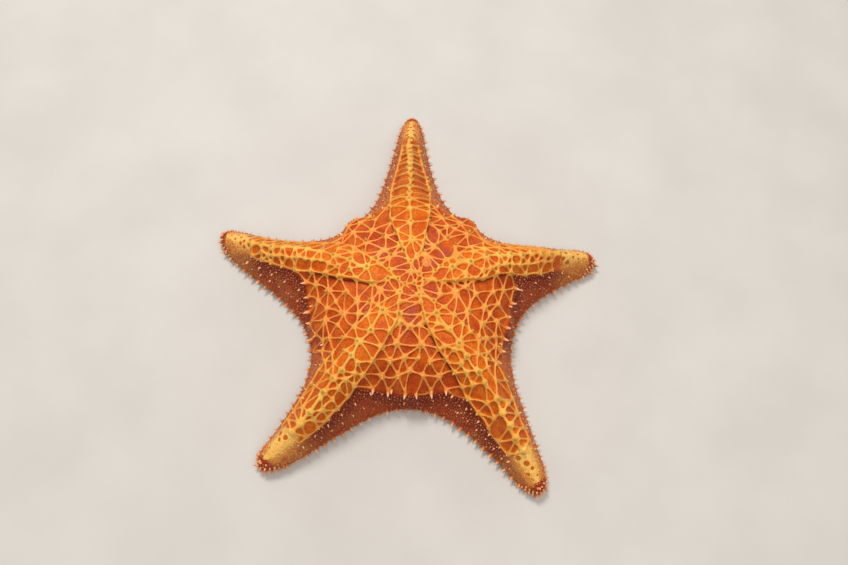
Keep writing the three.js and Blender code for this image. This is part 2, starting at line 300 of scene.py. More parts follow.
def rib_rows(half):
    """The whole body on one half as rows of points: (ribs, points on a rib, 3)."""
    arm = half.arm
    along, s, w = half.ribs(BODY_RIBS)
    length = np.hypot(s - along, w)
    rim_share, rim_height = arm.rim(along)
    ridge = arm.ridge_height(along)
    crown = lerp(ARM_CROWN, DISC_CROWN, 1 - along / s)
    lip = np.minimum(LIP / length, BAND_CAP)
    pad = np.minimum(PAD / length, BAND_CAP)
    groove = np.minimum(arm.groove_half_width(along) / length, GROOVE_CAP)
    depth = arm.groove_depth(along)
    profile = []
    for a in np.linspace(0, 1, TOP_ROWS):
        profile.append((a * rim_share, lerp(ridge, rim_height, a ** crown)))
    for t in np.linspace(0, 1, FLANK_ROWS)[1:]:
        profile.append((lerp(rim_share, 1, t), lerp(rim_height, OUTLINE_HEIGHT, t ** FLANK_BULGE)))
    for turn in np.linspace(0, math.pi / 2, LIP_TURNS)[1:]:
        profile.append((1 - lip * (1 - math.cos(turn)), OUTLINE_HEIGHT * (1 - math.sin(turn))))
    profile.append((1 - lip - pad, 0))
    for t in np.linspace(0, 1, UNDER_ROWS)[1:]:
        profile.append((lerp(1 - lip - pad, groove, t), SOLE_HEIGHT * smooth(t, 0, 1)))
    for t in np.linspace(0, 1, GROOVE_ROWS_ACROSS)[1:]:
        profile.append((groove * (1 - t), SOLE_HEIGHT + depth * math.sin(t * math.pi / 2)))
    rows = []
    for share, z in profile:
        share, z = np.broadcast_arrays(np.asarray(share, float), along)[0], np.broadcast_to(z, along.shape)
        xy = half.place(lerp(along, s, share), w * share)
        rows.append(np.column_stack([xy, z]))
    return np.stack(rows, axis=1)


def bare_body():
    """The body as one closed mesh of even squares."""
    points, faces = [], []
    for half in HALVES:
        rows = rib_rows(half)
        ribs, across = rows.shape[:2]
        index = np.arange(ribs * across).reshape(ribs, across) + sum(map(len, points))
        quads = np.stack([index[:-1, :-1], index[1:, :-1], index[1:, 1:], index[:-1, 1:]], axis=-1)
        quads = quads.reshape(-1, 4)
        faces.append(quads if half.side > 0 else quads[:, ::-1])
        points.append(rows.reshape(-1, 3))
    points = np.vstack(points)
    _, first, same = np.unique(np.round(points / WELD).astype(int), axis=0, return_index=True,
                               return_inverse=True)
    same = same.ravel()
    welded = []
    for face in same[np.vstack(faces)]:
        corners = list(dict.fromkeys(face.tolist()))
        if len(corners) > 2:
            welded.append(corners)
    body = new_object("skin", points[first], welded)
    remesh = body.modifiers.new("even", "REMESH")
    remesh.mode = "VOXEL"
    remesh.voxel_size = VOXEL * MM
    evaluated = body.evaluated_get(bpy.context.evaluated_depsgraph_get())
    mesh = bpy.data.meshes.new_from_object(evaluated)
    body.modifiers.clear()
    body.data = mesh
    mesh.polygons.foreach_set("use_smooth", np.ones(len(mesh.polygons), bool))
    return body


skin = bare_body()
edges = edges_of(skin)
base = relax(points_of(skin), edges, SMOOTH_ROUNDS, 0.5)
base[:, 2] = np.maximum(base[:, 2], 0)
set_points(skin, base)
normals = normals_of(skin)

# ---- Where each point of the skin lies ----


def arm_coordinates(xy):
    """Nearest arm, s and w, for points in plan."""
    best = np.full(len(xy), np.inf)
    index = np.zeros(len(xy), int)
    s_best, w_best = np.zeros(len(xy)), np.zeros(len(xy))
    for i, arm in enumerate(ARMS):
        s, w = arm.coordinates(xy)
        turn = np.arctan2(w, s)
        share = np.where(turn > 0, turn / notch_of(i, 1)[0], -turn / notch_of(i, -1)[0])
        nearer = share < best
        best[nearer], index[nearer] = share[nearer], i
        s_best[nearer], w_best[nearer] = s[nearer], w[nearer]
    return index, s_best, w_best


arm_index, along_s, across_w = arm_coordinates(base[:, :2])

# ---- The network of bars on the back ----
# Plates are placed in millimetres, as (s, w) on an arm or, between the arms, as (x, y) from the centre.
# They follow points picked by eye in the photo, which a separate program turned into millimetres: 136 of
# the 338 pairs below are its numbers, 110 lie within 1 mm of one of them, and 92 were put in by hand.

RIDGE = [
    [(22.7, 0), (33.1, 0.3), (41.9, 0.5), (48.2, 0.6), (52.6, 0.4), (57.1, 0), (62.2, -0.6), (67.3, -0.4),
     (71.6, -0.1), (75.8, -0.3), (79.4, -0.5), (83, -0.3), (86.5, 0), (90, 0.3), (96.4, 0)],
    [(25.2, 0.2), (34.7, -1.6), (44.2, -1.8), (52.1, -3.6), (60.4, -3.6), (67.3, -2.7), (74.4, -1.7),
     (81, 0), (88.3, -0.4), (94.9, 0.6)],
    [(22.5, -2.1), (34.2, -0.5), (42.3, -2.2), (49.6, -0.5), (58.2, 0.1), (63.6, -0.7), (71.8, -0.2),
     (83.5, 0.7), (90.7, 1.2), (96.5, 0.6)],
    [(21.3, -1.3), (32.2, -0.6), (40.2, -0.7), (47.6, -1.1), (57.3, -0.6), (63, -0.9), (72.6, 0),
     (79.7, -1.3), (86.7, -0.8), (93.5, -1.2), (101.3, -0.8)],
    [(21.1, 0.7), (31.3, 1.1), (40.5, 2.6), (48.3, 1.8), (54.4, 0.7), (60.9, -0.4), (67, 0.4), (73.1, 0),
     (78.5, -0.4), (84.5, 0)],
]
BORDER = [
    {1: [(16.7, 4.5), (21, 6.5), (28.7, 8.4), (36.8, 10.9), (47.4, 11.4), (53.5, 11.2), (58.9, 10.8),
         (64.7, 10.1), (70.3, 9), (75.4, 7.8), (80.4, 6.7), (85.5, 5.7), (91, 4.8)],
     -1: [(12.9, 2.2), (16.4, 5.5), (21.5, 6.3), (27.3, 7.5), (34.9, 9.5), (41.2, 10.5), (47, 10.7),
          (53.4, 11.4), (59.7, 11.5), (64.2, 11), (68.9, 10.1), (73.8, 9.2), (78.5, 7.9), (83.2, 7.2),
          (88.6, 6.1), (93.2, 5)]},
    {1: [(12.9, 3.1), (20.1, 7.6), (29.4, 7.7), (38.8, 8.3), (47, 7.9), (55, 7.2), (65, 7.6), (72.8, 6.8),
         (80.3, 6.4), (87.3, 6.1), (94.2, 5.7)],
     -1: [(13.7, 1.5), (19.2, 3.6), (24.4, 5.8), (30.2, 8), (37, 10.8), (45.8, 13), (54.5, 13),
          (62, 12.5), (69, 11.8), (76, 10.8), (83, 9.8), (90, 8.7), (97, 7.2)]},
    {1: [(13.9, 1.8), (18.7, 5.2), (22.9, 7.1), (28.6, 7.5), (37.3, 9), (45.2, 9.3), (53.3, 9.1),
         (59.7, 8.5), (65.5, 9), (73.1, 8.6), (80, 7.9), (86.6, 7.2), (93.6, 6.3), (99.5, 6)],
     -1: [(17.1, 4.6), (21.8, 6.4), (28.8, 7.7), (37.5, 9.9), (44.2, 10.7), (52.8, 11.6), (58.2, 13),
          (63.9, 13.6), (71.8, 12.8), (80.5, 11.2), (87.1, 9.9), (92.9, 9), (100.5, 7)]},
    {1: [(15.2, 1.5), (21.1, 4.6), (26.9, 6.2), (32.8, 7.6), (38.4, 9), (43.9, 9.8), (50.7, 11.2),
         (56.9, 12.8), (66.9, 12.2), (76.9, 10.1), (84.4, 8), (91.7, 6.7), (97.7, 6), (103.2, 5.4)],
     -1: [(12.2, 4.1), (17.4, 6.6), (21.6, 8.2), (27.4, 9), (36.4, 10.6), (42.8, 10.4), (49.6, 10.1),
          (57.2, 10), (63.5, 10.6), (71.9, 9.9), (80.8, 9.2), (89.1, 8.4), (97.3, 7.4)]},
    {1: [(12, 1), (15.5, 2.8), (20.1, 5.9), (27, 7.9), (35.7, 11.1), (44.1, 13.4), (51.5, 13.2),
         (58.5, 12.4), (66, 11), (73, 9.6), (80, 8)],
     -1: [(10, 3.2), (14.7, 5.4), (20.2, 6.9), (26.2, 7.3), (31, 8.2), (36.4, 8.8), (44.5, 7.7),
          (52.5, 7.7), (61.8, 8.6), (70.9, 8.2), (79.3, 6.8)]},
]
# where each petal ends by the centre
APEX = [(-1.9, 9.4), (-8.1, -0.3), (-6.6, -7.4), (3.2, -8.4), (5.3, -0.2)]
INSIDE = [
    [],
    [(64.2, 2.2), (75.9, 3.1), (83.2, 3.8), (55.4, 2.4), (35.9, -6.5), (44.2, -7.4), (71, 3.2), (67.6, 3),
     (59.5, 2.6), (50.5, 1.8), (46, 2.6), (40, 3), (34, 3.4), (87.4, 3), (79.5, 3.4)],
    [(49.6, -5.2), (57.4, -6.2), (62.8, -7.2), (50.6, 3.8), (55, 5.6), (60.4, 4), (66, 4), (71.6, -7.6),
     (71.7, 4.8), (83.5, -5), (85.1, 4), (78.6, 4.2)],
    [(36.8, -7.2), (41.4, -4.2), (48.6, -5), (53.4, -5.2), (60, -6), (49.6, 4.8), (53.8, 7), (57.6, 5),
     (64.4, 5.4), (71.3, -4.8), (77.6, 4.2), (79.1, -5.4), (26.3, -3.8)],
    [(25.6, 4.2), (35.9, 7), (42.5, 7.8), (51, 7.8), (27, -4), (36.8, -4.6), (45.9, -3.6), (58.6, -4.8),
     (69.6, -4), (41.5, -4.4), (50.3, -3.8), (54.5, -4.2), (64, -4.4), (74.4, -3.8), (79, -3.4),
     (57, 6.5), (63, 6), (69, 5.4), (75, 4.8)],
]
BETWEEN = [  # after each arm, anticlockwise
    [(-16.6, 17.3), (-25, 31.6), (-23.7, 40.4), (-17.3, 26.2), (-26.8, 22.7), (-35.6, 32.4),
     (-20.4, 11.2), (-12.6, 13.5), (-33, 40.5)],
    [(-53.4, -0.4), (-45.6, -4.7), (-34.9, -6.7), (-40.8, -10.9), (-51.6, -8), (-35.8, -17),
     (-29.4, -11.2), (-28, -18.4), (-21.7, -11.7), (-17.5, -5.9), (-39.2, -22.8), (-46.9, -18.5),
     (-43.7, -28.1), (-48, -33), (-52, -24.5), (-47.7, -28.1), (-46, -13.4)],
    [(-4.7, -23.1), (-0.5, -24.5), (4, -23.5), (-6.6, -33.2), (5.5, -32.9), (-2.3, -38.9), (4.4, -39),
     (10.6, -40.7), (-9.8, -41.4), (-13.7, -47.9), (-5.4, -47.3), (7.4, -46.4), (15.7, -46.9),
     (0.6, -44.7)],
    [(22.7, -4.6), (14.4, -7), (28.3, -1.4), (33.3, -3.9), (43.3, -0.4), (38.6, -9.4), (46.6, -5.2),
     (29.3, -13.8), (37.2, -18.4), (46, -14), (45.6, -22), (49.2, 2.6), (40.8, -24.8), (36.2, -25.2),
     (46.2, -27), (41.8, -11.5)],
    [(21.4, 36.2), (12.5, 31.1), (13.9, 43), (28.6, 33.9), (21, 22.6), (11.2, 21), (5.6, 14.6),
     (24.9, 42.4), (17.2, 36.6), (16.6, 27.4)],
]
RIM = {  # the measured notches' rim plates; the others are spaced evenly
    1: [(-58.6, 1.9), (-58, -4.2), (-57.3, -10.6), (-56.6, -16.6), (-56.2, -24), (-56, -30)],
    2: [(-18.2, -53.2), (-10.5, -53.4), (-1.4, -54.6), (4.4, -54.6), (12.2, -52.7), (19.8, -51.8)],
    3: [(49.6, -27.5), (50.4, -21), (51.6, -15.8), (52.6, -9.5), (54.5, -0.8), (55.5, 6.2)],
}
HUB = [(-4.3, -2.9), (0.3, -2.2), (3, -4.8), (2.6, 3.2), (-1.6, 4.4)]
RIM_SPACING = 8.6
LONGEST_BAR = 14.5
DROPPED_SHARE = {"petal": 0.06, "inter": 0.06}
NEVER_DROPPED = 6  # bars up to this long always stay
KEPT_RIM_SHARE = 0.3
RIM_CLEAR = 4  # between a petal's edge and the first rim plate beside it
SHORTEST_LINK = 4  # between two plates of the edge
EDGE_SLACK = 0.2
SAME_POINT = 1e-4
# Past this distance from the centre a petal's short bar is left out where a third plate crowds it.
LADDER_FROM = 46
LADDER_LONGEST = 10
CROWDED = 1.04  # nearer to the bar's middle than this share of its half length
# From this ridge node of arm_1 on, bars run straight across instead, every second one faint.
RUNGS_FROM = {0: 3}
RUNG_LEAN = 4.5  # a rung reaches the border this much further out than it leaves the ridge
RUNG_CLEAR = 2.2  # a border plate closer to a rung's end than this gives way to it
TAIL_FROM_TIP = 6  # past the last plate a border narrows to here, then closes
END_FROM_TIP = 3
TAIL_WIDTHS = (0.85, 0.45)  # shares of the last half width, half way along that stretch and at its end
# For each notch, how far out on its two arms the raised petals run before they become the arms' rims.
PETALS_JOIN = [(50, 48), (56, 57), (59, 59), (57, 50), (50, 50)]


class Network:
    """Nodes in plan, and which of them are joined for certain."""

    def __init__(self):
        self.xy, self.kind, self.fixed = [], [], {}

    def add(self, xy, kind):
        self.xy.append(np.asarray(xy, float).ravel())
        self.kind.append(kind)
        return len(self.xy) - 1

    def join(self, nodes, style):
        for a, b in zip(nodes[:-1], nodes[1:]):
            self.fixed[(a, b)] = style


def border_table(index, side):
    """s and half width of the raised petal, from its end by the centre to the arm's tip."""
    arm = ARMS[index]
    apex_s, apex_w = arm.coordinates(CENTRE + np.array([APEX[index]]))
    inner = [(apex_s[0], max(0.0, side * apex_w[0]))]
    last_s, last_w = BORDER[index][side][-1]
    tail_s = arm.reach - TAIL_FROM_TIP
    outer = [(lerp(last_s, tail_s, 0.5), last_w * TAIL_WIDTHS[0]), (tail_s, last_w * TAIL_WIDTHS[1]),
             (arm.reach - END_FROM_TIP, 0)]
    return np.array(inner + BORDER[index][side] + outer).T


BORDER_TABLES = [{side: border_table(index, side) for side in (1, -1)} for index in range(len(ARMS))]


def petal_edge(index, side, s):
    return np.interp(s, *BORDER_TABLES[index][side], left=-1, right=-1)


def between_petals(xy, margin):
    index, s, w = arm_coordinates(np.asarray(xy)[None])
    return abs(w[0]) > petal_edge(index[0], 1 if w[0] > 0 else -1, s[0]) + margin


def rim_line(index):
    """The rim of one notch, from this arm's border to the next arm's."""
    first, second = HALVES[2 * index + 1], HALVES[(2 * index + 2) % len(HALVES)]
    here, there = PETALS_JOIN[index]
    line = np.vstack([first.place(first.rim_s, first.rim_w)[first.rim_s < here][::-1],
                      second.place(second.rim_s, second.rim_w)[second.rim_s < there]])
    return line


def rim_nodes(net, index):
    if index in RIM:
        nodes = [net.add(CENTRE + np.array(xy), "rim") for xy in RIM[index]]
    else:
        line = rim_line(index)
        line = line[[between_petals(xy, RIM_CLEAR) for xy in line]]
        run = np.concatenate([[0], np.cumsum(np.hypot(*np.diff(line, axis=0).T))])
        count = round(run[-1] / RIM_SPACING)
        nodes = []
        for i in range(count + 1):
            nodes.append(net.add([np.interp(run[-1] * i / count, run, line[:, k]) for k in (0, 1)], "rim"))
    net.join(nodes, "rim")
    return nodes


def rungs_of(index):
    """The ridge nodes that carry rungs, without the one at the tip."""
    return RIDGE[index][RUNGS_FROM[index]:-1] if index in RUNGS_FROM else []


def in_ladder(xy):
    index, s, _ = arm_coordinates(np.asarray(xy)[None])
    rungs = rungs_of(index[0])
    return bool(rungs) and s[0] > rungs[0][0]


def build_network():
    net = Network()
    for index, arm in enumerate(ARMS):
        ridge = [net.add(arm.place(s, w), "ridge") for s, w in RIDGE[index]]
        apex = net.add(CENTRE + np.array(APEX[index]), "hub")
        net.join(ridge, "ridge")
        rungs = [s + RUNG_LEAN for s, _ in rungs_of(index)]
        for side in (1, -1):
            places = [(s, w) for s, w in BORDER[index][side]
                      if all(abs(s - rung) > RUNG_CLEAR for rung in rungs)]
            places += [(s, petal_edge(index, side, s)) for s in rungs]
            border = {s: net.add(arm.place(s, side * w), "border") for s, w in sorted(places)}
            net.join([apex, *border.values()], "border")
            for i, s in enumerate(rungs):
                net.join([ridge[RUNGS_FROM[index] + i], border[s]], "faint" if i % 2 else "rung")
        for s, w in INSIDE[index]:
            net.add(arm.place(s, w), "lateral")
        for xy in BETWEEN[index]:
            net.add(CENTRE + np.array(xy), "inter")
    for xy in HUB:
        net.add(CENTRE + np.array(xy), "hub")
    net.rims = [rim_nodes(net, index) for index in range(len(ARMS))]
    return net


def edge_line(net):
    """The line round the back: the notches' rims, and the borders along the arms, out to the tips."""
    parts = []
    for index, arm in enumerate(ARMS):
        start, end = PETALS_JOIN[index - 1][1], PETALS_JOIN[index][0]
        for side, first in ((-1, start), (1, end)):
            s, w = BORDER_TABLES[index][side]
            keep = s > first
            parts.append(arm.place(s[keep], side * w[keep])[::-side])
        parts.append(np.array([net.xy[i] for i in net.rims[index]]))
    return np.vstack(parts)


def triangulate(net):
    """Bars as (node, node, style): the fixed ones, and most of a Delaunay triangulation of the rest."""
    points = [Vector(xy) for xy in net.xy]
    fixed = list(net.fixed)
    _, joined, _, origins, edge_origins, _ = delaunay_2d_cdt(points, fixed, [], 0, SAME_POINT)
    bars = []
    for (a, b), sources in zip(joined, edge_origins):
        if not origins[a] or not origins[b]:
            continue
        a, b = origins[a][0], origins[b][0]
        sources = [i for i in sources if i < len(fixed)]
        style = net.fixed[fixed[sources[0]]] if sources else ""
        middle = (net.xy[a] + net.xy[b]) / 2
        length = np.hypot(*(net.xy[a] - net.xy[b]))
        draw = rng.random()
        if style == "rim" and draw > KEPT_RIM_SHARE:
            continue
        if not style:
            style = "inter" if between_petals(middle, 0) else "petal"
            if edge_loop.distance(middle[None])[0] < -EDGE_SLACK or length > LONGEST_BAR:
                continue
            kinds = {net.kind[a], net.kind[b]}
            on_edge = kinds <= {"border", "rim"}
            if kinds == {"hub", "ridge"} or (on_edge and (style == "petal" or length < SHORTEST_LINK)):
                continue
            dropped = draw < DROPPED_SHARE[style] and length > NEVER_DROPPED
            if dropped or (style == "petal" and in_ladder(middle)):
                continue
            if style == "petal" and length < LADDER_LONGEST and np.hypot(*(middle - CENTRE)) > LADDER_FROM:
                others = np.delete(np.array(net.xy), [a, b], axis=0)
                if np.hypot(*(others - middle).T).min() < CROWDED * length / 2:
                    continue
        bars.append((a, b, style))
    return bars


net = build_network()
edge_loop = Loop(edge_line(net))
bars = triangulate(net)
inside_rim = edge_loop.distance(base[:, :2])

# ---- Relief: fields painted on the skin along the bars and at the nodes ----

BAR_STYLES = {  # half width, height, boldness
    "ridge": (0.62, 1.0, 1.0),
    "border": (0.52, 0.9, 0.8),
    "rim": (0.44, 0.5, 0.3),
    "petal": (0.37, 0.7, 0.75),
    "rung": (0.5, 0.8, 0.85),
    "faint": (0.28, 0.35, 0.3),
    "inter": (0.40, 0.5, 0.25),
}
BAR_REACH = 1.6  # a bar's foot, in half widths
BAR_STEP = 1.6  # between the points that a bar is painted through
LONGEST_STEP = 6  # a longer step would cross a fold, and isn't painted
BAR_FULL = 0.85  # share of the painted field at which a bar has its full height
VARIES = (0.85, 1.15)  # widths of bars and radii of plates
MEAN_HALF_WIDTH = 0.46
BLEND = 2.0  # per mm: how sharply two bars meet, so that the cells have round corners
BLEND_RANGE = 2.2  # how far from a bar's middle line it is painted
END_FLARE = 0.5  # bars widen at their ends by this share, over this length
END_FLARE_LENGTH = 1.3
TIP_WIDENING = 0.35  # bars widen towards the tips, between these distances from them
TIP_WIDENS = (24, 60)
HUB_NARROWING = 0.6  # and narrow towards the middle of the disc
HUB_WIDENS = (5, 20)
BOW = 0.05  # how far a bar bows sideways, as a share of its length
CELL_SINK = 0.6
STEP_NEAR = 1.8  # depth of the fold beside a petal, and of the floor beyond it
STEP_FAR = 0.7
STEP_RUN = 4
PLATE_RADIUS = {"ridge": 1.75, "border": 1.25, "rim": 1.3, "lateral": 1.2, "inter": 1.15, "hub": 1.3}
PLATE_HEIGHT = {"ridge": 0.9, "border": 0.6, "rim": 0.5, "lateral": 0.6, "inter": 0.5, "hub": 0.6}
PLATE_FADE = 1.5  # in radii: where a plate's paint ends
DOT_RADIUS = 0.8
ABOVE_ALL = 0.2  # metres: from here rays are cast down on the back

surface = BVHTree.FromObject(skin, bpy.context.evaluated_depsgraph_get())


def on_top(xy):
    """The point of the bare body's back over a point in plan, and the normal there."""
    hit, normal, _, _ = surface.ray_cast(Vector((xy[0] * MM, xy[1] * MM, ABOVE_ALL)), Vector((0, 0, -1)))
    if hit is None:
        return None, None
    return np.array(hit) / MM, np.array(normal)


def tree_of(points):
    tree = KDTree(len(points))
    for i, point in enumerate(points):
        tree.insert(point, i)
    tree.balance()
    return tree


skin_tree = tree_of(base)


def around_point(point, radius):
    return np.array([i for _, i, _ in skin_tree.find_range(point, radius)], int)


def petal_distance(index, s, w):
    """How far outside the petal's edge each point lies, across the arm."""
    out = np.empty(len(s))
    for i, half in enumerate(HALVES):
        mine = (index == i // 2) & ((w > 0) == (half.side > 0))
        out[mine] = np.abs(w[mine]) - petal_edge(i // 2, half.side, s[mine])
    return out


beyond_petal = petal_distance(arm_index, along_s, across_w)
reach = np.array([arm.reach for arm in ARMS])
to_tip = reach[arm_index] - along_s
size = len(base)
bar_sum, bar_tall, bold_field, plate_field, dot_field, spot_field = (np.zeros(size) for _ in range(6))
NOWHERE = -99.0
own_depth = np.full(size, NOWHERE)  # how deep each point lies in the bar being painted


def bar_line(a, b, width):
    """Points along a bar on the body's back, and its half width at each."""
    start, end = net.xy[a], net.xy[b]
    length = np.hypot(*(end - start))
    steps = max(2, round(length / BAR_STEP))
    t = np.linspace(0, 1, steps + 1)
    sideways = np.array([start[1] - end[1], end[0] - start[0]]) * rng.normal(0, BOW)
    line = start + (end - start) * t[:, None] + sideways * np.sin(t * math.pi)[:, None]
    points = [on_top(xy)[0] for xy in line]
    ends = np.minimum(t, 1 - t) * length
    widths = width * (1 + END_FLARE * np.exp(-(ends / END_FLARE_LENGTH) ** 2))
    arms, s, _ = arm_coordinates(line)
    widths *= 1 + TIP_WIDENING * (1 - smooth(reach[arms] - s, *TIP_WIDENS))
    widths *= lerp(HUB_NARROWING, 1, smooth(np.hypot(*(line - CENTRE).T), *HUB_WIDENS))
    return points, widths


def paint_bar(a, b, style):
    """Adds a bar to the fields. Where bars meet, their sum rounds the corners of the cells between them."""
    width, height, bold = BAR_STYLES[style]
    points, widths = bar_line(a, b, width * rng.uniform(*VARIES))
    touched = []
    for p, q, wp, wq in zip(points[:-1], points[1:], widths[:-1], widths[1:]):
        if p is None or q is None:
            continue
        span = np.linalg.norm(q - p)
        index = around_point((p + q) / 2, span / 2 + BLEND_RANGE)
        if not len(index) or span > LONGEST_STEP:
            continue
        rel = base[index] - p
        share = np.clip(rel @ (q - p) / span ** 2, 0, 1)
        depth = lerp(wp, wq, share) - np.linalg.norm(rel - share[:, None] * (q - p), axis=1)
        own_depth[index] = np.maximum(own_depth[index], depth)
        touched.append(index)
    if not touched:
        return
    index = np.unique(np.concatenate(touched))
    depth = own_depth[index]
    own_depth[index] = NOWHERE
    bar_sum[index] += np.exp(BLEND * depth)
    close = index[depth > -BLEND_RANGE / 2]
    bar_tall[close] = np.maximum(bar_tall[close], height)
    bold_field[close] = np.maximum(bold_field[close], bold)


for a, b, style in bars:
    paint_bar(a, b, style)

bar_depth = np.log(np.maximum(bar_sum, 1e-9)) / BLEND
bar_field = np.clip(((BAR_REACH - 1) * MEAN_HALF_WIDTH + bar_depth) / (BAR_REACH * MEAN_HALF_WIDTH), 0, 1)
bar_height = bar_tall * smooth(bar_field, 0, BAR_FULL)


def paint_plate(point, kind):
    """A plate rises to a bar's height round its own middle, and a little more on top of that."""
    radius = PLATE_RADIUS[kind] * rng.uniform(*VARIES)
    index = around_point(point, PLATE_FADE * radius)
    distance = np.linalg.norm(base[index] - point, axis=1)
    plate_field[index] = np.maximum(plate_field[index], 1 - distance / (PLATE_FADE * radius))
    rise = PLATE_HEIGHT[kind] * smooth(1.25 - distance / radius, 0, 1.2)
    level = BAR_STYLES["petal"][1] * smooth(1.3 - distance / radius, 0, 0.8)
    bar_height[index] = np.maximum(bar_height[index], level) + rise * 0.6
    dot_field[index] = np.maximum(dot_field[index], 1 - distance / (DOT_RADIUS * radius))


nodes_top = [on_top(xy) for xy in net.xy]
for (point, _), kind in zip(nodes_top, net.kind):
    if point is not None:
        paint_plate(point, kind)

SPOT_ROWS = (8.5, 3.9)  # the last pores towards a tip: distance of the first row from it, and between rows
SPOT_RADIUS = (0.5, 1.7)
SPOT_CHANCE = (0.9, 0.95, 0.5, 0.55, 0.9)  # for each arm
SPOT_SHARES = [(-0.35, 0.38), (-0.62, 0.05, 0.66)]  # of the border's half width, in even and in odd rows
SPOT_STRAY = (0.7, 0.4)  # how far a pore strays along and across the arm
SPOT_VARIES = (0.7, 1.2)


def paint_tip_spots(index):
    """Round pores in the fused plates of a tip, smaller and fewer towards its end."""
    arm = ARMS[index]
    last = arm.reach - RIDGE[index][-1][0]
    for row, back_off in enumerate(np.arange(SPOT_ROWS[0], last - 1, SPOT_ROWS[1])):
        s = arm.reach - back_off
        for share in SPOT_SHARES[row % 2]:
            wide = petal_edge(index, 1 if share > 0 else -1, s)
            radius = lerp(*SPOT_RADIUS, (back_off - SPOT_ROWS[0]) / (last - SPOT_ROWS[0]))
            radius *= rng.uniform(*SPOT_VARIES)
            keep = rng.random() < SPOT_CHANCE[index]
            stray = [rng.normal(0, spread) for spread in SPOT_STRAY]
            point, _ = on_top(arm.place(s + stray[0], share * wide + stray[1]))
            if point is None or not keep:
                continue
            near = around_point(point, 2 * radius)
            distance = np.linalg.norm(base[near] - point, axis=1)
            spot_field[near] = np.maximum(spot_field[near], 1 - distance / (2 * radius))


for index in range(len(ARMS)):
    paint_tip_spots(index)

# ---- Regions ----

TIP_YELLOW = (28, 21)  # from the tip, where the yellow of the fused plates starts and is full
TIP_DARK = (8.5, 2.5)
FOLD_SHADE_AT = 1.3  # painted shade in the fold beside a petal: how far outside its edge, and how wide
FOLD_SHADE_WIDTH = 0.7
FOLD_DEPTH_AND_SHADE = (0.6, 0.6, 0.3, 1.0, 0.3, 0.3, 1.0, 0.3, 1.0, 0.3)  # for each half arm: how deep the fold beside its petal is, and how dark its painted shade
FOLD_STARTS = (9, 18)  # along an arm, the fold beside its petal grows here
FOLD_ENDS = (46, 62)
BARS_FADE = (19, 26)  # from the tip, where the bars, then the cells, sink into the fused plates
CELLS_FADE = (20, 30)
SPOT_SINK = 0.5
FUSED_FADES = (12, 34)  # from the tip, where the flank loses the tip's colour
back = smooth(inside_rim, -1.5, 1.0) * smooth(normals[:, 2], 0.0, 0.3)
under = smooth(-normals[:, 2], 0.2, 0.7)
petal = smooth(-beyond_petal, -0.8, 0.6)
fold = smooth(along_s, *FOLD_STARTS) * (1 - smooth(along_s, *FOLD_ENDS))
fold_depth_and_shade = np.array(FOLD_DEPTH_AND_SHADE)[2 * arm_index + (across_w > 0)]
near_step = STEP_NEAR * lerp(0.5, 1, fold_depth_and_shade) * np.exp(-np.maximum(beyond_petal, 0) / STEP_RUN)
step = (near_step + STEP_FAR) * (1 - petal) * fold
bar_height *= smooth(to_tip, *BARS_FADE)
cells = (1 - smooth(bar_height, 0, 0.6)) * smooth(to_tip, *CELLS_FADE)
sink = CELL_SINK * np.maximum(cells, SPOT_SINK * smooth(spot_field, 0.2, 0.6))
move = back * (bar_height - step - sink)
points = base + normals * move[:, None]

# Rows of low plates on the underside, each row shifted by half a plate
PLATE_ROW = 5.5
PLATE_BULGE = 0.5
sole = smooth(-normals[:, 2], 0.6, 0.9)
groove_w = np.abs(across_w)
row_bump = np.abs(np.sin(groove_w / PLATE_ROW * math.pi)) ** 0.5
shifted = along_s + 0.5 * PLATE_ROW * np.floor(groove_w / PLATE_ROW)
plate_bump = np.abs(np.sin(shifted / PLATE_ROW * math.pi)) ** 0.5
points += normals * (PLATE_BULGE * sole * (row_bump * plate_bump - 1))[:, None]
points[:, 2] = np.maximum(points[:, 2], 0)
points = relax(points, edges, 1, 0.25)
points[:, 2] = np.maximum(points[:, 2], 0)
set_points(skin, points)

DEEP_AT = 20  # the purple patches lie round the centre, at this distance, and spread this far
DEEP_WIDTH = 13
from_centre = np.hypot(*(base[:, :2] - CENTRE).T)
flank = (1 - smooth(inside_rim, -1.5, 0.5)) * (1 - under)
fields = {
    "bar": bar_field,
    "bold": bold_field,
    "plate": plate_field,
    "dot": dot_field,
    "petal": petal,
    "deep": np.exp(-((from_centre - DEEP_AT) / DEEP_WIDTH) ** 2) * smooth(beyond_petal, 0.5, 3),
    "flank": flank,
    "under": under,
    # painted light: flanks facing north, towards the key light, are painted browner and lighter
    "north_painted_light": smooth(normals[:, 1], -0.5, 0.4),
    "tip": 1 - smooth(to_tip, TIP_YELLOW[1], TIP_YELLOW[0]),
    "end": 1 - smooth(to_tip, TIP_DARK[1], TIP_DARK[0]),
    # painted shade: the flank is painted darkest just outside the rim, lighter further out and down
    "down": smooth(-inside_rim, 0.5, 8.5),
    "spot": spot_field,
    "fused": 1 - smooth(to_tip, *FUSED_FADES),
    "fringe": smooth(beyond_petal, -3.6, 0.4),
    # painted shade: the fold just outside a petal's edge is darkened
    "crease": fold_depth_and_shade * fold * np.exp(-((beyond_petal - FOLD_SHADE_AT) / FOLD_SHADE_WIDTH) ** 2),
    "arm": smooth(along_s, 48, 80),
}
for name, values in fields.items():
    add_attribute(skin, name, values)

# ---- Materials ----


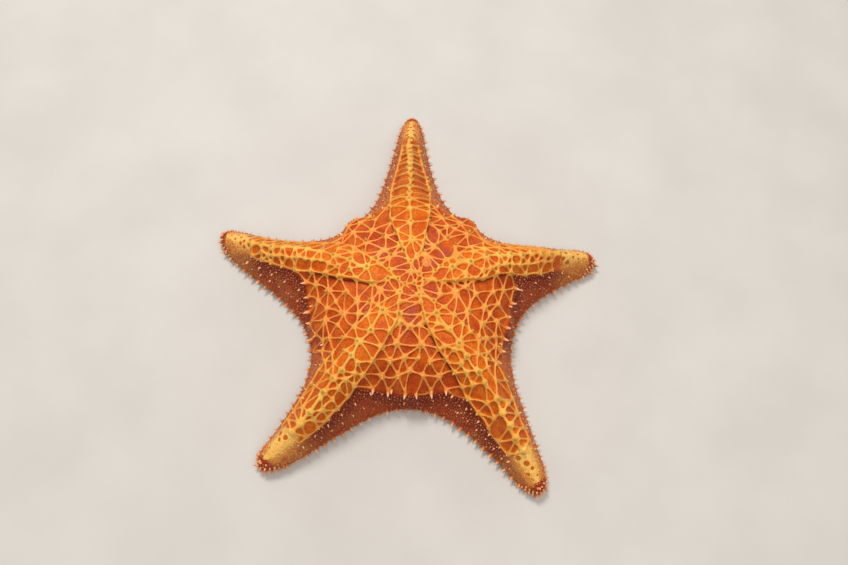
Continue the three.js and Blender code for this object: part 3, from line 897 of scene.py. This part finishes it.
class Shader:
    """A procedural material, built from small node calls."""

    def __init__(self, name, roughness=0.5, specular=0.5, subsurface=0.0):
        self.material = bpy.data.materials.new(name)
        self.material.use_nodes = True
        self.tree = self.material.node_tree
        self.bsdf = self.tree.nodes["Principled BSDF"]
        self.bsdf.inputs["Roughness"].default_value = roughness
        self.bsdf.inputs["Specular IOR Level"].default_value = specular
        if subsurface:
            self.bsdf.inputs["Subsurface Weight"].default_value = subsurface
            self.bsdf.inputs["Subsurface Radius"].default_value = (1.0, 0.3, 0.1)
            self.bsdf.inputs["Subsurface Scale"].default_value = 0.002
        self.coordinates = self.tree.nodes.new("ShaderNodeTexCoord").outputs["Object"]

    def put(self, socket, value):
        if isinstance(value, bpy.types.NodeSocket):
            self.tree.links.new(value, socket)
        elif isinstance(value, tuple) and len(value) == 3 and socket.type == "RGBA":
            socket.default_value = (*value, 1)
        else:
            socket.default_value = value

    def node(self, kind, inputs, output, **settings):
        """A new node of this kind, with its settings and inputs. Returns one of its outputs."""
        node = self.tree.nodes.new("ShaderNode" + kind)
        for name, value in settings.items():
            setattr(node, name, value)
        for socket, value in inputs.items():
            self.put(node.inputs[socket], value)
        return node.outputs[output]

    def attribute(self, name):
        return self.node("Attribute", {}, "Fac", attribute_name=name)

    def noise(self, scale_mm, detail=3, roughness=0.5, low=0.3, high=0.7):
        inputs = {"Vector": self.coordinates, "Scale": 1000 / scale_mm,
                  "Detail": detail, "Roughness": roughness}
        return self.ramp(self.node("TexNoise", inputs, "Fac"), low, high)

    def cells(self, scale_mm):
        return self.node("TexVoronoi", {"Vector": self.coordinates, "Scale": 1000 / scale_mm}, "Distance")

    def ramp(self, value, low, high, to_low=0.0, to_high=1.0):
        inputs = {"Value": value, "From Min": low, "From Max": high, "To Min": to_low, "To Max": to_high}
        return self.node("MapRange", inputs, "Result", interpolation_type="SMOOTHSTEP")

    def math(self, operation, a, b):
        return self.node("Math", {0: a, 1: b}, 0, operation=operation)

    def times(self, a, b):
        return self.math("MULTIPLY", a, b)

    def ragged(self, mask, noise, amount):
        """A mask moved up and down by a noise, so that what is cut from it has a ragged edge."""
        return self.math("ADD", mask, self.times(self.math("SUBTRACT", noise, 0.5), amount))

    def mix(self, factor, a, b):
        return self.node("Mix", {"Factor": factor, 6: a, 7: b}, 2, data_type="RGBA")

    def bump(self, height, depth_mm, strength=1.0):
        inputs = {"Strength": strength, "Distance": depth_mm * MM, "Height": height}
        return self.node("Bump", inputs, "Normal")

    def finish(self, colour, roughness=None, normal=None):
        self.put(self.bsdf.inputs["Base Color"], colour)
        if roughness is not None:
            self.put(self.bsdf.inputs["Roughness"], roughness)
        if normal is not None:
            self.put(self.bsdf.inputs["Normal"], normal)
        return self.material


BAR_YELLOW = (0.74, 0.305, 0.046)
BAR_BRIGHT = (0.82, 0.42, 0.078)
BAR_ORANGE = (0.80, 0.27, 0.055)
CELL_ORANGE = (0.58, 0.088, 0.004)
CELL_LIGHT = (0.72, 0.17, 0.007)
CELL_RED = (0.64, 0.115, 0.006)
CELL_DARK = (0.40, 0.042, 0.004)
PURPLE = (0.34, 0.07, 0.06)
MAROON_DARK = (0.12, 0.008, 0.003)
MAROON = (0.40, 0.046, 0.006)
MAROON_LIGHT = (0.46, 0.10, 0.018)
BROWN = (0.48, 0.145, 0.026)
ORANGE_BROWN = (0.56, 0.18, 0.035)
TIP_COLOUR = (0.90, 0.57, 0.14)
TIP_BLOTCH = (0.82, 0.36, 0.06)
SPOT_COLOUR = (0.40, 0.13, 0.012)
END_COLOUR = (0.26, 0.022, 0.006)
OLIVE = (0.26, 0.22, 0.03)
OLIVE_LIGHT = (0.45, 0.40, 0.07)
CREAM = (0.66, 0.42, 0.22)
CREAM_DARK = (0.42, 0.20, 0.08)


def cell_colour(m, mottle, pits):
    """Red between the arms and orange in the petals, with dark mottling, purple patches and painted shade in
    the folds beside the petals.
    """
    blotch = m.noise(9, low=0.38, high=0.62)
    cell = m.mix(blotch, CELL_RED, CELL_DARK)
    cell = m.mix(m.attribute("petal"), cell, m.mix(blotch, CELL_ORANGE, CELL_LIGHT))
    cell = m.mix(m.times(mottle, 0.6), cell, CELL_DARK)
    patch = m.times(m.attribute("deep"), m.noise(7, low=0.46, high=0.6))
    cell = m.mix(patch, cell, m.mix(mottle, PURPLE, CELL_DARK))
    cell = m.mix(m.times(pits, 0.5), cell, CELL_LIGHT)
    # Painted shade: the fold just outside each petal's edge is darkened to maroon.
    return m.mix(m.times(m.attribute("crease"), 0.8), cell, MAROON_DARK)


def add_bars(m, colour, mottle):
    """Bars and plates over the cells, yellower where they are bold, with olive dots on the plates."""
    bar = m.mix(m.attribute("bold"), BAR_ORANGE, BAR_YELLOW)
    bar = m.mix(m.times(m.attribute("bold"), m.noise(14, low=0.4, high=0.65)), bar, BAR_BRIGHT)
    bar_mask = m.ramp(m.ragged(m.attribute("bar"), mottle, 0.12), 0.27, 0.45)
    plate_mask = m.ramp(m.attribute("plate"), 0.34, 0.5)
    bar = m.mix(m.times(plate_mask, 0.5), bar, BAR_BRIGHT)
    colour = m.mix(m.math("MAXIMUM", bar_mask, plate_mask), colour, bar)
    dots = m.times(m.ramp(m.attribute("dot"), 0.25, 0.6), m.noise(5, low=0.4, high=0.6))
    return m.mix(m.times(dots, 0.8), colour, OLIVE)


def add_tips(m, colour, mottle, grain, pits):
    """The fused yellow plates of the tips: blotched, beaded and frayed towards the sides, with dark pores."""
    blotch = m.noise(2.4, detail=5, roughness=0.7, low=0.4, high=0.62)
    fused = m.mix(m.times(blotch, 0.8), TIP_COLOUR, TIP_BLOTCH)
    fused = m.mix(m.times(pits, 0.25), fused, BAR_BRIGHT)
    beads = m.times(m.ramp(grain, 0.3, 0.6), m.ramp(m.attribute("fringe"), 0.0, 1.0, 0.25, 1.0))
    fused = m.mix(beads, fused, ORANGE_BROWN)
    frayed = m.ramp(m.ragged(m.attribute("fringe"), mottle, 0.8), 0.45, 0.95)
    fused = m.mix(m.times(frayed, 0.75), fused, m.mix(pits, ORANGE_BROWN, CELL_LIGHT))
    pores = m.ramp(m.attribute("spot"), 0.3, 0.55)
    fused = m.mix(pores, fused, m.mix(mottle, SPOT_COLOUR, CELL_ORANGE))
    where = m.ragged(m.attribute("tip"), m.noise(5, detail=4), 0.7)
    return m.mix(m.ramp(where, 0.3, 0.7), colour, fused)


def flank_colour(m, mottle, pits):
    """Maroon flanks, browner along the arms and paler by the tips; painted shade darkens them just under the
    rim, and painted light makes those facing north, away from the camera, browner and lighter.
    """
    side = m.mix(m.noise(8), MAROON, m.mix(m.attribute("arm"), MAROON, BROWN))
    # Painted shade: darkest just under the rim, lighter further down the flank.
    side = m.mix(m.attribute("down"), MAROON_DARK, m.mix(m.times(mottle, 0.5), side, MAROON_DARK))
    # Painted light: flanks facing north, towards the key light, are browner and lighter.
    side = m.mix(m.attribute("north_painted_light"), side, m.mix(m.noise(5), BROWN, ORANGE_BROWN))
    side = m.mix(m.times(pits, 0.5), side, MAROON_LIGHT)
    return m.mix(m.times(m.attribute("fused"), 0.8), side, m.mix(m.noise(3), TIP_BLOTCH, ORANGE_BROWN))


def skin_material():
    m = Shader("skin", roughness=0.45, specular=0.15)
    mottle = m.noise(1.2, detail=4, roughness=0.65, low=0.36, high=0.64)
    grain = m.cells(0.9)
    pits = m.math("SUBTRACT", 1.0, m.ramp(grain, 0.18, 0.42))
    colour = add_bars(m, cell_colour(m, mottle, pits), mottle)
    colour = add_tips(m, colour, mottle, grain, pits)
    colour = m.mix(m.attribute("flank"), colour, flank_colour(m, mottle, pits))
    dark_end = m.ramp(m.ragged(m.attribute("end"), mottle, 0.4), 0.2, 0.8)
    colour = m.mix(dark_end, colour, m.mix(m.times(pits, 0.6), END_COLOUR, CELL_RED))
    below = m.mix(m.ramp(m.cells(1.3), 0.1, 0.5), CREAM, m.mix(m.noise(5), CREAM, CREAM_DARK))
    colour = m.mix(m.attribute("under"), colour, below)
    granules = m.bump(m.math("SUBTRACT", 1.0, grain), 0.35, 0.7)
    return m.finish(colour, m.ramp(m.noise(2.5, detail=4), 0.2, 0.8, 0.32, 0.6), granules)


skin.data.materials.clear()
skin.data.materials.append(skin_material())
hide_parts("disc", *[f"arm_{i}" for i in range(1, 6)])
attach(skin, "root")

# ---- Spines, cones, granules and knobs, each kind one mesh of many small turned forms ----

UP = Vector((0, 0, 1))
BELOW_ALL = -1  # from here rays are cast up at the underside


def unit(vector):
    vector = np.asarray(vector, float)
    return vector / np.linalg.norm(vector)


def turns(count):
    return [2 * math.pi * k / count for k in range(count)]


def band_faces(rings, sides, start=0):
    """Quads between rings of points that lie one after another."""
    faces = []
    for ring in range(rings - 1):
        low, high = start + ring * sides, start + (ring + 1) * sides
        for k in range(sides):
            after = (k + 1) % sides
            faces.append((low + k, low + after, high + after, high + k))
    return faces


def on_body(xy, z):
    """The point of the bare body nearest to a place, and the normal there."""
    near, normal, _, _ = surface.find_nearest(Vector((*xy, z)) * MM)
    return np.array(near) / MM, np.array(normal)


def on_sole(xy):
    """The point of the bare body's underside at a point in plan, or None."""
    hit, _, _, _ = surface.ray_cast(Vector((*xy, BELOW_ALL)) * MM, UP)
    return None if hit is None else np.array(hit) / MM


class Studs:
    """Small turned forms on the body, gathered into one closed mesh each kind."""

    def __init__(self, profile, sides=8):
        self.profile = profile  # (height, radius) shares from the base up, ending on the axis
        self.sides = sides
        self.points, self.faces, self.along, self.shade = [], [], [], []

    def add(self, at, direction, radius, length, bend=0.0):
        direction = unit(direction)
        spare = np.array([0, 0, 1.0]) if abs(direction[2]) < 0.9 else np.array([1.0, 0, 0])
        u = unit(np.cross(spare, direction))
        v = np.cross(direction, u)
        start = len(self.points)
        turn = rng.uniform(0, 2 * math.pi)
        lean = u * math.cos(turn) + v * math.sin(turn)
        shade = rng.random()
        for height, share in self.profile[:-1]:
            middle = at + direction * height * length + lean * bend * length * height ** 2
            for angle in turns(self.sides):
                self.points.append(middle + (u * math.cos(angle) + v * math.sin(angle)) * radius * share)
                self.along.append(height)
                self.shade.append(shade)
        self.points.append(at + direction * self.profile[-1][0] * length + lean * bend * length)
        self.along.append(1)
        self.shade.append(shade)
        rings = len(self.profile) - 1
        n = self.sides
        self.faces.append([start + k for k in range(n)][::-1])
        self.faces += band_faces(rings, n, start)
        top, low = start + rings * n, start + (rings - 1) * n
        self.faces += [[low + k, low + (k + 1) % n, top] for k in range(n)]

    def build(self, name, material, replaces=()):
        points = np.array(self.points)
        points[:, 2] = np.maximum(points[:, 2], 0)
        obj = new_object(name, points, self.faces, material)
        add_attribute(obj, "along", self.along)
        add_attribute(obj, "shade", self.shade)
        if replaces:
            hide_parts(*replaces)
        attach(obj, "root")
        return obj


CONE = [(0, 1), (0.25, 0.82), (0.5, 0.58), (0.75, 0.34), (0.92, 0.16), (1, 0)]
KNOB = [(0, 1), (0.3, 0.92), (0.6, 0.8), (0.85, 0.55), (0.97, 0.25), (1, 0)]
GRANULE = [(0, 1), (0.5, 0.86), (0.85, 0.5), (1, 0)]


def spine_material(name, low, high, tip, from_share=0.35):
    m = Shader(name, roughness=0.5, specular=0.3, subsurface=0.1)
    along = m.attribute("along")
    colour = m.mix(m.ramp(along, from_share, 0.75), low, m.mix(m.attribute("shade"), high, tip))
    colour = m.mix(m.math("MULTIPLY", m.noise(0.8, detail=3), 0.3), colour, low)
    return m.finish(colour, m.ramp(m.noise(1.5), 0, 1, 0.35, 0.6), m.bump(m.noise(0.5, detail=3), 0.12, 0.6))


PALE = (0.88, 0.52, 0.27)
PINK = (0.74, 0.31, 0.11)
OUTLINE_SPINE = {"spacing": 5.3, "length": 3.0, "radius": 1.5, "sunk": 1.4, "tilt": 10, "raised": 0.6}
UNDER_SPINE = {"spacing": 4.6, "length": 1.8, "radius": 0.8, "sunk": 1.0, "tilt": -10, "raised": -1.6}
SPINE_STRAY = 0.08  # how far a spine's direction strays
SPINE_BEND = 0.08
STRIDE = 0.6  # to each side of a place, for the outline's direction there


def edge_points(half, spacing, phase=0.5):
    """Evenly spaced places on a half's outline: along, s, w, direction outwards in plan."""
    total = half.length[-1]
    count = round(total / spacing)
    for i in range(count):
        at = (i + phase) * total / count
        s, w, along = (np.interp(at, half.length, table) for table in (half.s, half.w, half.along))
        before, after = (half.place(*(np.interp(at + d, half.length, table) for table in (half.s, half.w)))
                         for d in (-STRIDE, STRIDE))
        run = after - before
        yield along, s, w, unit(np.array([-run[1], run[0]]) * half.side)


def edge_spines():
    spines = Studs(CONE)
    for half in HALVES:
        for kind in (OUTLINE_SPINE, UNDER_SPINE):
            tilt = math.radians(kind["tilt"])
            for along, s, w, out in edge_points(half, kind["spacing"]):
                xy = half.place(s, w)
                straight = np.array([*(out * math.cos(tilt)), math.sin(tilt)])
                direction = unit(straight + rng.normal(0, SPINE_STRAY, 3))
                root = np.array([*xy, OUTLINE_HEIGHT + kind["raised"]]) - direction * kind["sunk"]
                scale = rng.uniform(0.8, 1.1) * lerp(1, 0.75, smooth(out[1], -0.3, 0.6))
                length = kind["length"] * scale + kind["sunk"]
                spines.add(root, direction, kind["radius"] * scale, length, SPINE_BEND)
    return spines.build("edge_spines", spine_material("edge_spine", MAROON_LIGHT, PINK, PALE, 0.3))


def flank_point(half, along, down):
    """A point on the flank: down runs from 0 on the rim to 1 on the outline. Returns it and the normal."""
    share, height = half.arm.rim(along)
    s = np.interp(along, half.along, half.s)
    w = np.interp(along, half.along, half.w)
    across = lerp(share, 1, down)
    xy = half.place(lerp(along, s, across), w * across)
    return on_body(xy, lerp(height, OUTLINE_HEIGHT, down ** FLANK_BULGE))


BORDER_CONES_FROM = 56
TIP_BARE = 18  # the flank's rows of cones stop this far before the tip
# How far down the flank, spacing, length, radius and phase
FLANK_ROWS_OF_CONES = [(0.36, 8.8, 1.9, 1.0, 0.95), (0.64, 6.5, 1.3, 0.75, 0.5)]


def rim_cones():
    """Pale cones on the notches' rim plates and along the arms' borders, and rows of smaller ones below."""
    cones = Studs(CONE)

    def grow(point, normal, out, lean, length, radius):
        length *= lerp(1, 0.55, smooth(normal[1], -0.5, 0.3))
        direction = unit(normal + lean * np.array([*out, 0]) + rng.normal(0, SPINE_STRAY, 3))
        scale = rng.uniform(0.8, 1.15)
        cones.add(point - direction, direction, radius * scale, (length + 1) * scale, 0.05)

    for (point, normal), kind, xy in zip(nodes_top, net.kind, net.xy):
        if kind == "rim" and point is not None:
            out = (xy - CENTRE) / np.hypot(*(xy - CENTRE))
            grow(point, normal, out, 0.9, 3.2, 1.3)
    for index, arm in enumerate(ARMS):
        for side in (1, -1):
            for s, w in BORDER[index][side]:
                if s > BORDER_CONES_FROM:
                    point, normal = on_top(arm.place(s, side * w))
                    grow(point, normal, arm.across * side, 0.6, 1.4, 0.8)
    for half in HALVES:
        for down, spacing, length, radius, phase in FLANK_ROWS_OF_CONES:
            for along, s, w, out in edge_points(half, spacing, phase):
                if half.arm.reach - along > TIP_BARE:
                    point, normal = flank_point(half, along, down)
                    grow(point, normal, out, 0, length, radius)
    material = spine_material("rim_cone", CELL_LIGHT, PALE, (0.88, 0.56, 0.31), 0.15)
    return cones.build("rim_cones", material)


GRANULE_TRIES = 30000
GRANULE_GAP = 1.5
GRANULE_SUNK = 0.25


def flank_granules():
    """Granules scattered evenly over the flanks."""
    granules = Studs(GRANULE, 6)
    chosen = np.flatnonzero((flank > 0.6) & (normals[:, 2] > -0.2))
    rng.shuffle(chosen)
    taken = np.zeros(size, bool)
    for i in chosen[:GRANULE_TRIES]:
        if taken[i]:
            continue
        taken[around_point(base[i], GRANULE_GAP)] = True
        radius = rng.uniform(0.3, 0.7)
        granules.add(points[i] - normals[i] * GRANULE_SUNK, normals[i], radius, GRANULE_SUNK + radius * 0.9)
    m = Shader("flank_granule", roughness=0.5, specular=0.35)
    pale = m.ramp(m.attribute("shade"), 0.7, 1.0, 0.0, 0.8)
    colour = m.mix(pale, m.mix(m.noise(6), MAROON, MAROON_LIGHT), PINK)
    material = m.finish(colour, m.ramp(m.noise(1.5), 0, 1, 0.4, 0.6))
    return granules.build("flank_granules", material)


KNOB_CHANCE = {"ridge": 0.8, "border": 0.3, "lateral": 0.4, "inter": 0.45, "hub": 0.8}
KNOB_SIZE = {"ridge": 1.15}


def back_knobs():
    """Blunt knobs on the plates of the back, with olive tops."""
    knobs = Studs(KNOB, 10)
    for (point, normal), kind in zip(nodes_top, net.kind):
        if point is None or kind == "rim" or rng.random() > KNOB_CHANCE[kind]:
            continue
        direction = unit(normal + rng.normal(0, 0.06, 3))
        radius = rng.uniform(0.75, 1.0) * KNOB_SIZE.get(kind, 0.85)
        knobs.add(point + direction * 0.4, direction, radius, radius * 1.5 + 0.6)
    material = spine_material("back_knob", BAR_YELLOW, OLIVE, OLIVE_LIGHT, 0.72)
    return knobs.build("back_knobs", material)


TIP_RINGS = [(0, 3.0, 2.2), (0, 6.0, 2.0), (1.5, 8.6, 1.6), (4, 10.2, 1.3)]  # set back, height, length
TIP_SPACING = 2.3
TIP_ROUND = 13  # from the tip, how far round the end the lowest ring runs, and how much less each next one
TIP_ROUND_STEP = 3


def tip_spines():
    """Stubby dark spines round the end of each arm."""
    spines = Studs(KNOB)
    for arm in ARMS:
        halves = [half for half in HALVES if half.arm is arm]
        for ring, (back_off, height, length) in enumerate(TIP_RINGS):
            for half in halves:
                for along, s, w, out in edge_points(half, TIP_SPACING, 0.5 + 0.3 * (ring % 2)):
                    if arm.reach - s > TIP_ROUND - TIP_ROUND_STEP * ring:
                        continue
                    near, normal = on_body(half.place(s, w) - out * (back_off + 0.4), height)
                    direction = unit(normal + 0.3 * np.array([*out, 0.3]) + rng.normal(0, 0.1, 3))
                    radius = 0.75 * rng.uniform(0.85, 1.1)
                    spines.add(near - direction, direction, radius, length * rng.uniform(0.7, 1.0) + 1)
    return spines.build("tip_spines", spine_material("tip_spine", CELL_DARK, BAR_ORANGE, PALE, 0.3))


GROOVE_ROWS = [(0.4, 1.5, 2.6, 0.42, -0.5), (1.8, 2.6, 1.9, 0.6, -0.1)]  # offset, step, length, radius, lean


def groove_spines():
    """Fans of small spines along both sides of each groove."""
    spines = Studs(CONE, 6)
    for half in HALVES:
        arm = half.arm
        for offset, step, length, radius, lean in GROOVE_ROWS:
            for s in np.arange(MOUTH_RADIUS + 3, arm.reach - 8, step):
                w = arm.groove_half_width(s) + offset
                at = on_sole(half.place(s + rng.normal(0, 0.2), w))
                if at is None:
                    continue
                across = half.place(s, 1) - half.place(s, 0)
                direction = unit(np.array([*(across * lean), -0.8]) + rng.normal(0, 0.12, 3))
                reach_down = min(length, (at[2] - 0.1) / max(0.2, -direction[2]))
                spines.add(at - direction * 0.6, direction, radius, max(0.7, reach_down) + 0.6)
    material = spine_material("groove_spine", CREAM_DARK, CREAM, (0.8, 0.6, 0.38), 0.1)
    return spines.build("groove_spines", material)


SUCKER = [(0, 0.62), (0.2, 0.55), (0.55, 0.5), (0.8, 0.55), (0.9, 0.95), (0.97, 1.0), (0.99, 0.8), (0.96, 0)]


def tube_feet():
    """Two rows of tube feet in each groove, with a sucker on each."""
    m = Shader("tube_foot", roughness=0.35, subsurface=0.3)
    colour = m.mix(m.ramp(m.attribute("along"), 0.75, 0.9), (0.72, 0.42, 0.20), (0.85, 0.68, 0.45))
    colour = m.mix(m.math("MULTIPLY", m.noise(1.2), 0.35), colour, (0.55, 0.24, 0.09))
    rings = m.ramp(m.cells(0.5), 0, 0.6)
    material = m.finish(colour, m.ramp(m.noise(1), 0, 1, 0.25, 0.45), m.bump(rings, 0.1, 0.5))
    for i, arm in enumerate(ARMS):
        feet = Studs(SUCKER, 9)
        for side in (-1, 1):
            for s in np.arange(14.5 + 0.9 * side, arm.reach - 14, 2.3):
                wide = arm.groove_half_width(s) * 0.38
                roof = SOLE_HEIGHT + GROOVE_SHOULDER * arm.groove_depth(s)
                top = np.array([*arm.place(s, side * wide), roof + 0.4])
                foot = np.array([*arm.place(s + rng.normal(0, 0.5), side * wide * rng.uniform(0.9, 1.3)),
                                 0.5 + rng.uniform(0, 0.9)])
                down = foot - top
                feet.add(top, down, min(0.85, wide * 0.5), np.linalg.norm(down))
        feet.build(f"feet_{i + 1}", material, [f"tube_feet_{i + 1}"])


# Radius and height from the opening outwards and back over the top, then the heights that close it
MOUTH_PROFILE = [(0.6, 5.6), (1.1, 4.9), (1.6, 4.4), (2.4, 4.5), (3.2, 4.8), (4.2, 4.9), (5.2, 5.3),
                 (6.3, 6.4), (6.3, 7.4), (3, 8)]
MOUTH_ENDS = (6.4, 8.2)
MOUTH_SIDES = 60
# Each jaw's spines: distance to its side, distance from the mouth's middle, length
JAW_SPINES = [(-1.1, 6.6, 3.4), (0, 6.2, 3.8), (1.1, 6.6, 3.4), (-2.0, 7.4, 2.8), (2.0, 7.4, 2.8),
              (-0.8, 8.6, 2.6), (0.8, 8.6, 2.6), (0, 10.4, 2.2)]


def mouth_membrane():
    """The membrane round the mouth, with its opening."""
    sides = MOUTH_SIDES
    pts = []
    for r, z in MOUTH_PROFILE:
        for angle in turns(sides):
            crease = 0.16 * math.sin(angle * 15) * smooth(r, 0.8, 2) * (1 - smooth(r, 4.5, 6))
            pts.append((CENTRE[0] + r * math.cos(angle), CENTRE[1] + r * math.sin(angle), z + crease))
    faces = band_faces(len(MOUTH_PROFILE), sides)
    last = (len(MOUTH_PROFILE) - 1) * sides
    pts += [(CENTRE[0], CENTRE[1], z) for z in MOUTH_ENDS]
    faces += [(len(pts) - 2, (k + 1) % sides, k) for k in range(sides)]
    faces += [(len(pts) - 1, last + k, last + (k + 1) % sides) for k in range(sides)]
    m = Shader("membrane", roughness=0.4, subsurface=0.3)
    colour = m.mix(m.noise(2), (0.62, 0.33, 0.16), (0.74, 0.50, 0.28))
    body = new_object("mouth_membrane", pts, faces, m.finish(colour, m.ramp(m.noise(1), 0, 1, 0.3, 0.5),
                                                             m.bump(m.noise(0.7), 0.15, 0.6)))
    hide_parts("mouth")
    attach(body, "root")


def mouth_spines():
    """The spines on the five jaws, between the arms."""
    jaws = Studs(KNOB, 8)
    for i, arm in enumerate(ARMS):
        heading = arm.angle + notch_of(i, 1)[0]
        out = np.array([math.cos(heading), math.sin(heading), 0])
        side = np.array([-out[1], out[0], 0])
        for aside, push, length in JAW_SPINES:
            at = np.array([*CENTRE, 3.0]) + out * push + side * aside
            sole = on_sole(at[:2])
            top = min(4 if sole is None else sole[2] + 0.6, 5)
            direction = np.array([0, 0, -1.0]) - out * 0.35
            jaws.add(np.array([at[0], at[1], top]), direction, 0.62, min(length, top - 0.3))
    material = spine_material("mouth_spine", CREAM_DARK, CREAM, (0.82, 0.62, 0.4), 0.1)
    jaws.build("mouth_spines", material)


def sieve_plate():
    """A low button with radiating wavy furrows."""
    low, high = (np.array(corner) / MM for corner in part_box("sieve_plate"))
    middle, radius = (low + high) / 2, (high[0] - low[0]) / 2
    rings, sides = 22, 96
    pts = []
    for ring in range(1, rings + 1):
        r = radius * ring / rings
        for angle in turns(sides):
            wave = math.sin(13 * angle + 2.2 * math.sin(2.4 * r)) * smooth(r, 0.3, 1.0)
            z = high[2] - 0.7 - 0.8 * (r / radius) ** 3 + 0.16 * wave
            pts.append((middle[0] + r * math.cos(angle), middle[1] + r * math.sin(angle), z))
    for angle in turns(sides):
        pts.append((middle[0] + radius * math.cos(angle), middle[1] + radius * math.sin(angle), low[2]))
    faces = [(b, a, d, c) for a, b, c, d in band_faces(rings + 1, sides)]
    faces.append([rings * sides + k for k in range(sides)][::-1])
    pts.append((middle[0], middle[1], high[2] - 0.7))
    faces += [(len(pts) - 1, k, (k + 1) % sides) for k in range(sides)]
    m = Shader("sieve", roughness=0.5)
    colour = m.mix(m.noise(1.2), (0.66, 0.18, 0.03), (0.76, 0.29, 0.07))
    obj = new_object("sieve_button", pts, faces, m.finish(colour, m.ramp(m.noise(0.8), 0, 1, 0.4, 0.6),
                                                          m.bump(m.noise(0.4), 0.1, 0.5)))
    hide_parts("sieve_plate")
    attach(obj, "root")


edge_spines()
rim_cones()
flank_granules()
back_knobs()
tip_spines()
groove_spines()
tube_feet()
mouth_membrane()
mouth_spines()
sieve_plate()

# ---- Floor, light and camera ----

CAMERA_ELEVATION = 69.81
CAMERA_ROLL = 3.045
CAMERA_AT = (10.478, -136.421, 387.306)
FOCAL_PX = 700
FRAME_PX = 848
SENSOR_MM = 36
WORLD_STRENGTH = 0.42
FLOOR_HALF = 3000


def set_camera():
    elevation, roll = math.radians(CAMERA_ELEVATION), math.radians(CAMERA_ROLL)
    behind = Vector((0, -math.cos(elevation), math.sin(elevation)))
    right = Vector((1, 0, 0))
    up = behind.cross(right)
    x = right * math.cos(roll) + up * math.sin(roll)
    y = up * math.cos(roll) - right * math.sin(roll)
    data = bpy.data.cameras.new("camera")
    data.sensor_width = SENSOR_MM
    data.lens = FOCAL_PX / FRAME_PX * SENSOR_MM
    data.clip_start = 0.01
    camera = bpy.data.objects.new("camera", data)
    bpy.context.scene.collection.objects.link(camera)
    place = Matrix((x, y, behind)).transposed().to_4x4()
    place.translation = Vector(CAMERA_AT) * MM
    camera.matrix_world = place
    bpy.context.scene.camera = camera


def area_light(name, at, towards, size, power, colour=(1, 1, 1)):
    data = bpy.data.lights.new(name, "AREA")
    data.shape = "DISK"
    data.size = size
    data.energy = power
    data.color = colour
    light = bpy.data.objects.new(name, data)
    bpy.context.scene.collection.objects.link(light)
    light.location = at
    light.rotation_euler = (Vector(towards) - Vector(at)).to_track_quat("-Z", "Y").to_euler()


def make_floor():
    m = Shader("floor", roughness=0.7)
    colour = m.mix(m.noise(60, low=0.2, high=0.8), (0.52, 0.49, 0.45), (0.57, 0.54, 0.50))
    corners = [(x * FLOOR_HALF, y * FLOOR_HALF, 0) for x, y in ((-1, -1), (1, -1), (1, 1), (-1, 1))]
    floor = new_object("floor", corners, [(0, 1, 2, 3)], m.finish(colour))


def pale_world():
    world = bpy.data.worlds.new("world")
    world.use_nodes = True
    world.node_tree.nodes["Background"].inputs["Color"].default_value = (1.0, 0.96, 0.9, 1)
    world.node_tree.nodes["Background"].inputs["Strength"].default_value = WORLD_STRENGTH
    bpy.context.scene.world = world


pale_world()
make_floor()
area_light("key", (-0.24, 0.50, 1.20), (0, 0, 0.02), 0.35, 11.6)
area_light("top", (0.3, -0.35, 1.45), (0, 0, 0), 1.2, 9.2)
set_camera()
bpy.context.scene.view_settings.view_transform = "Standard"
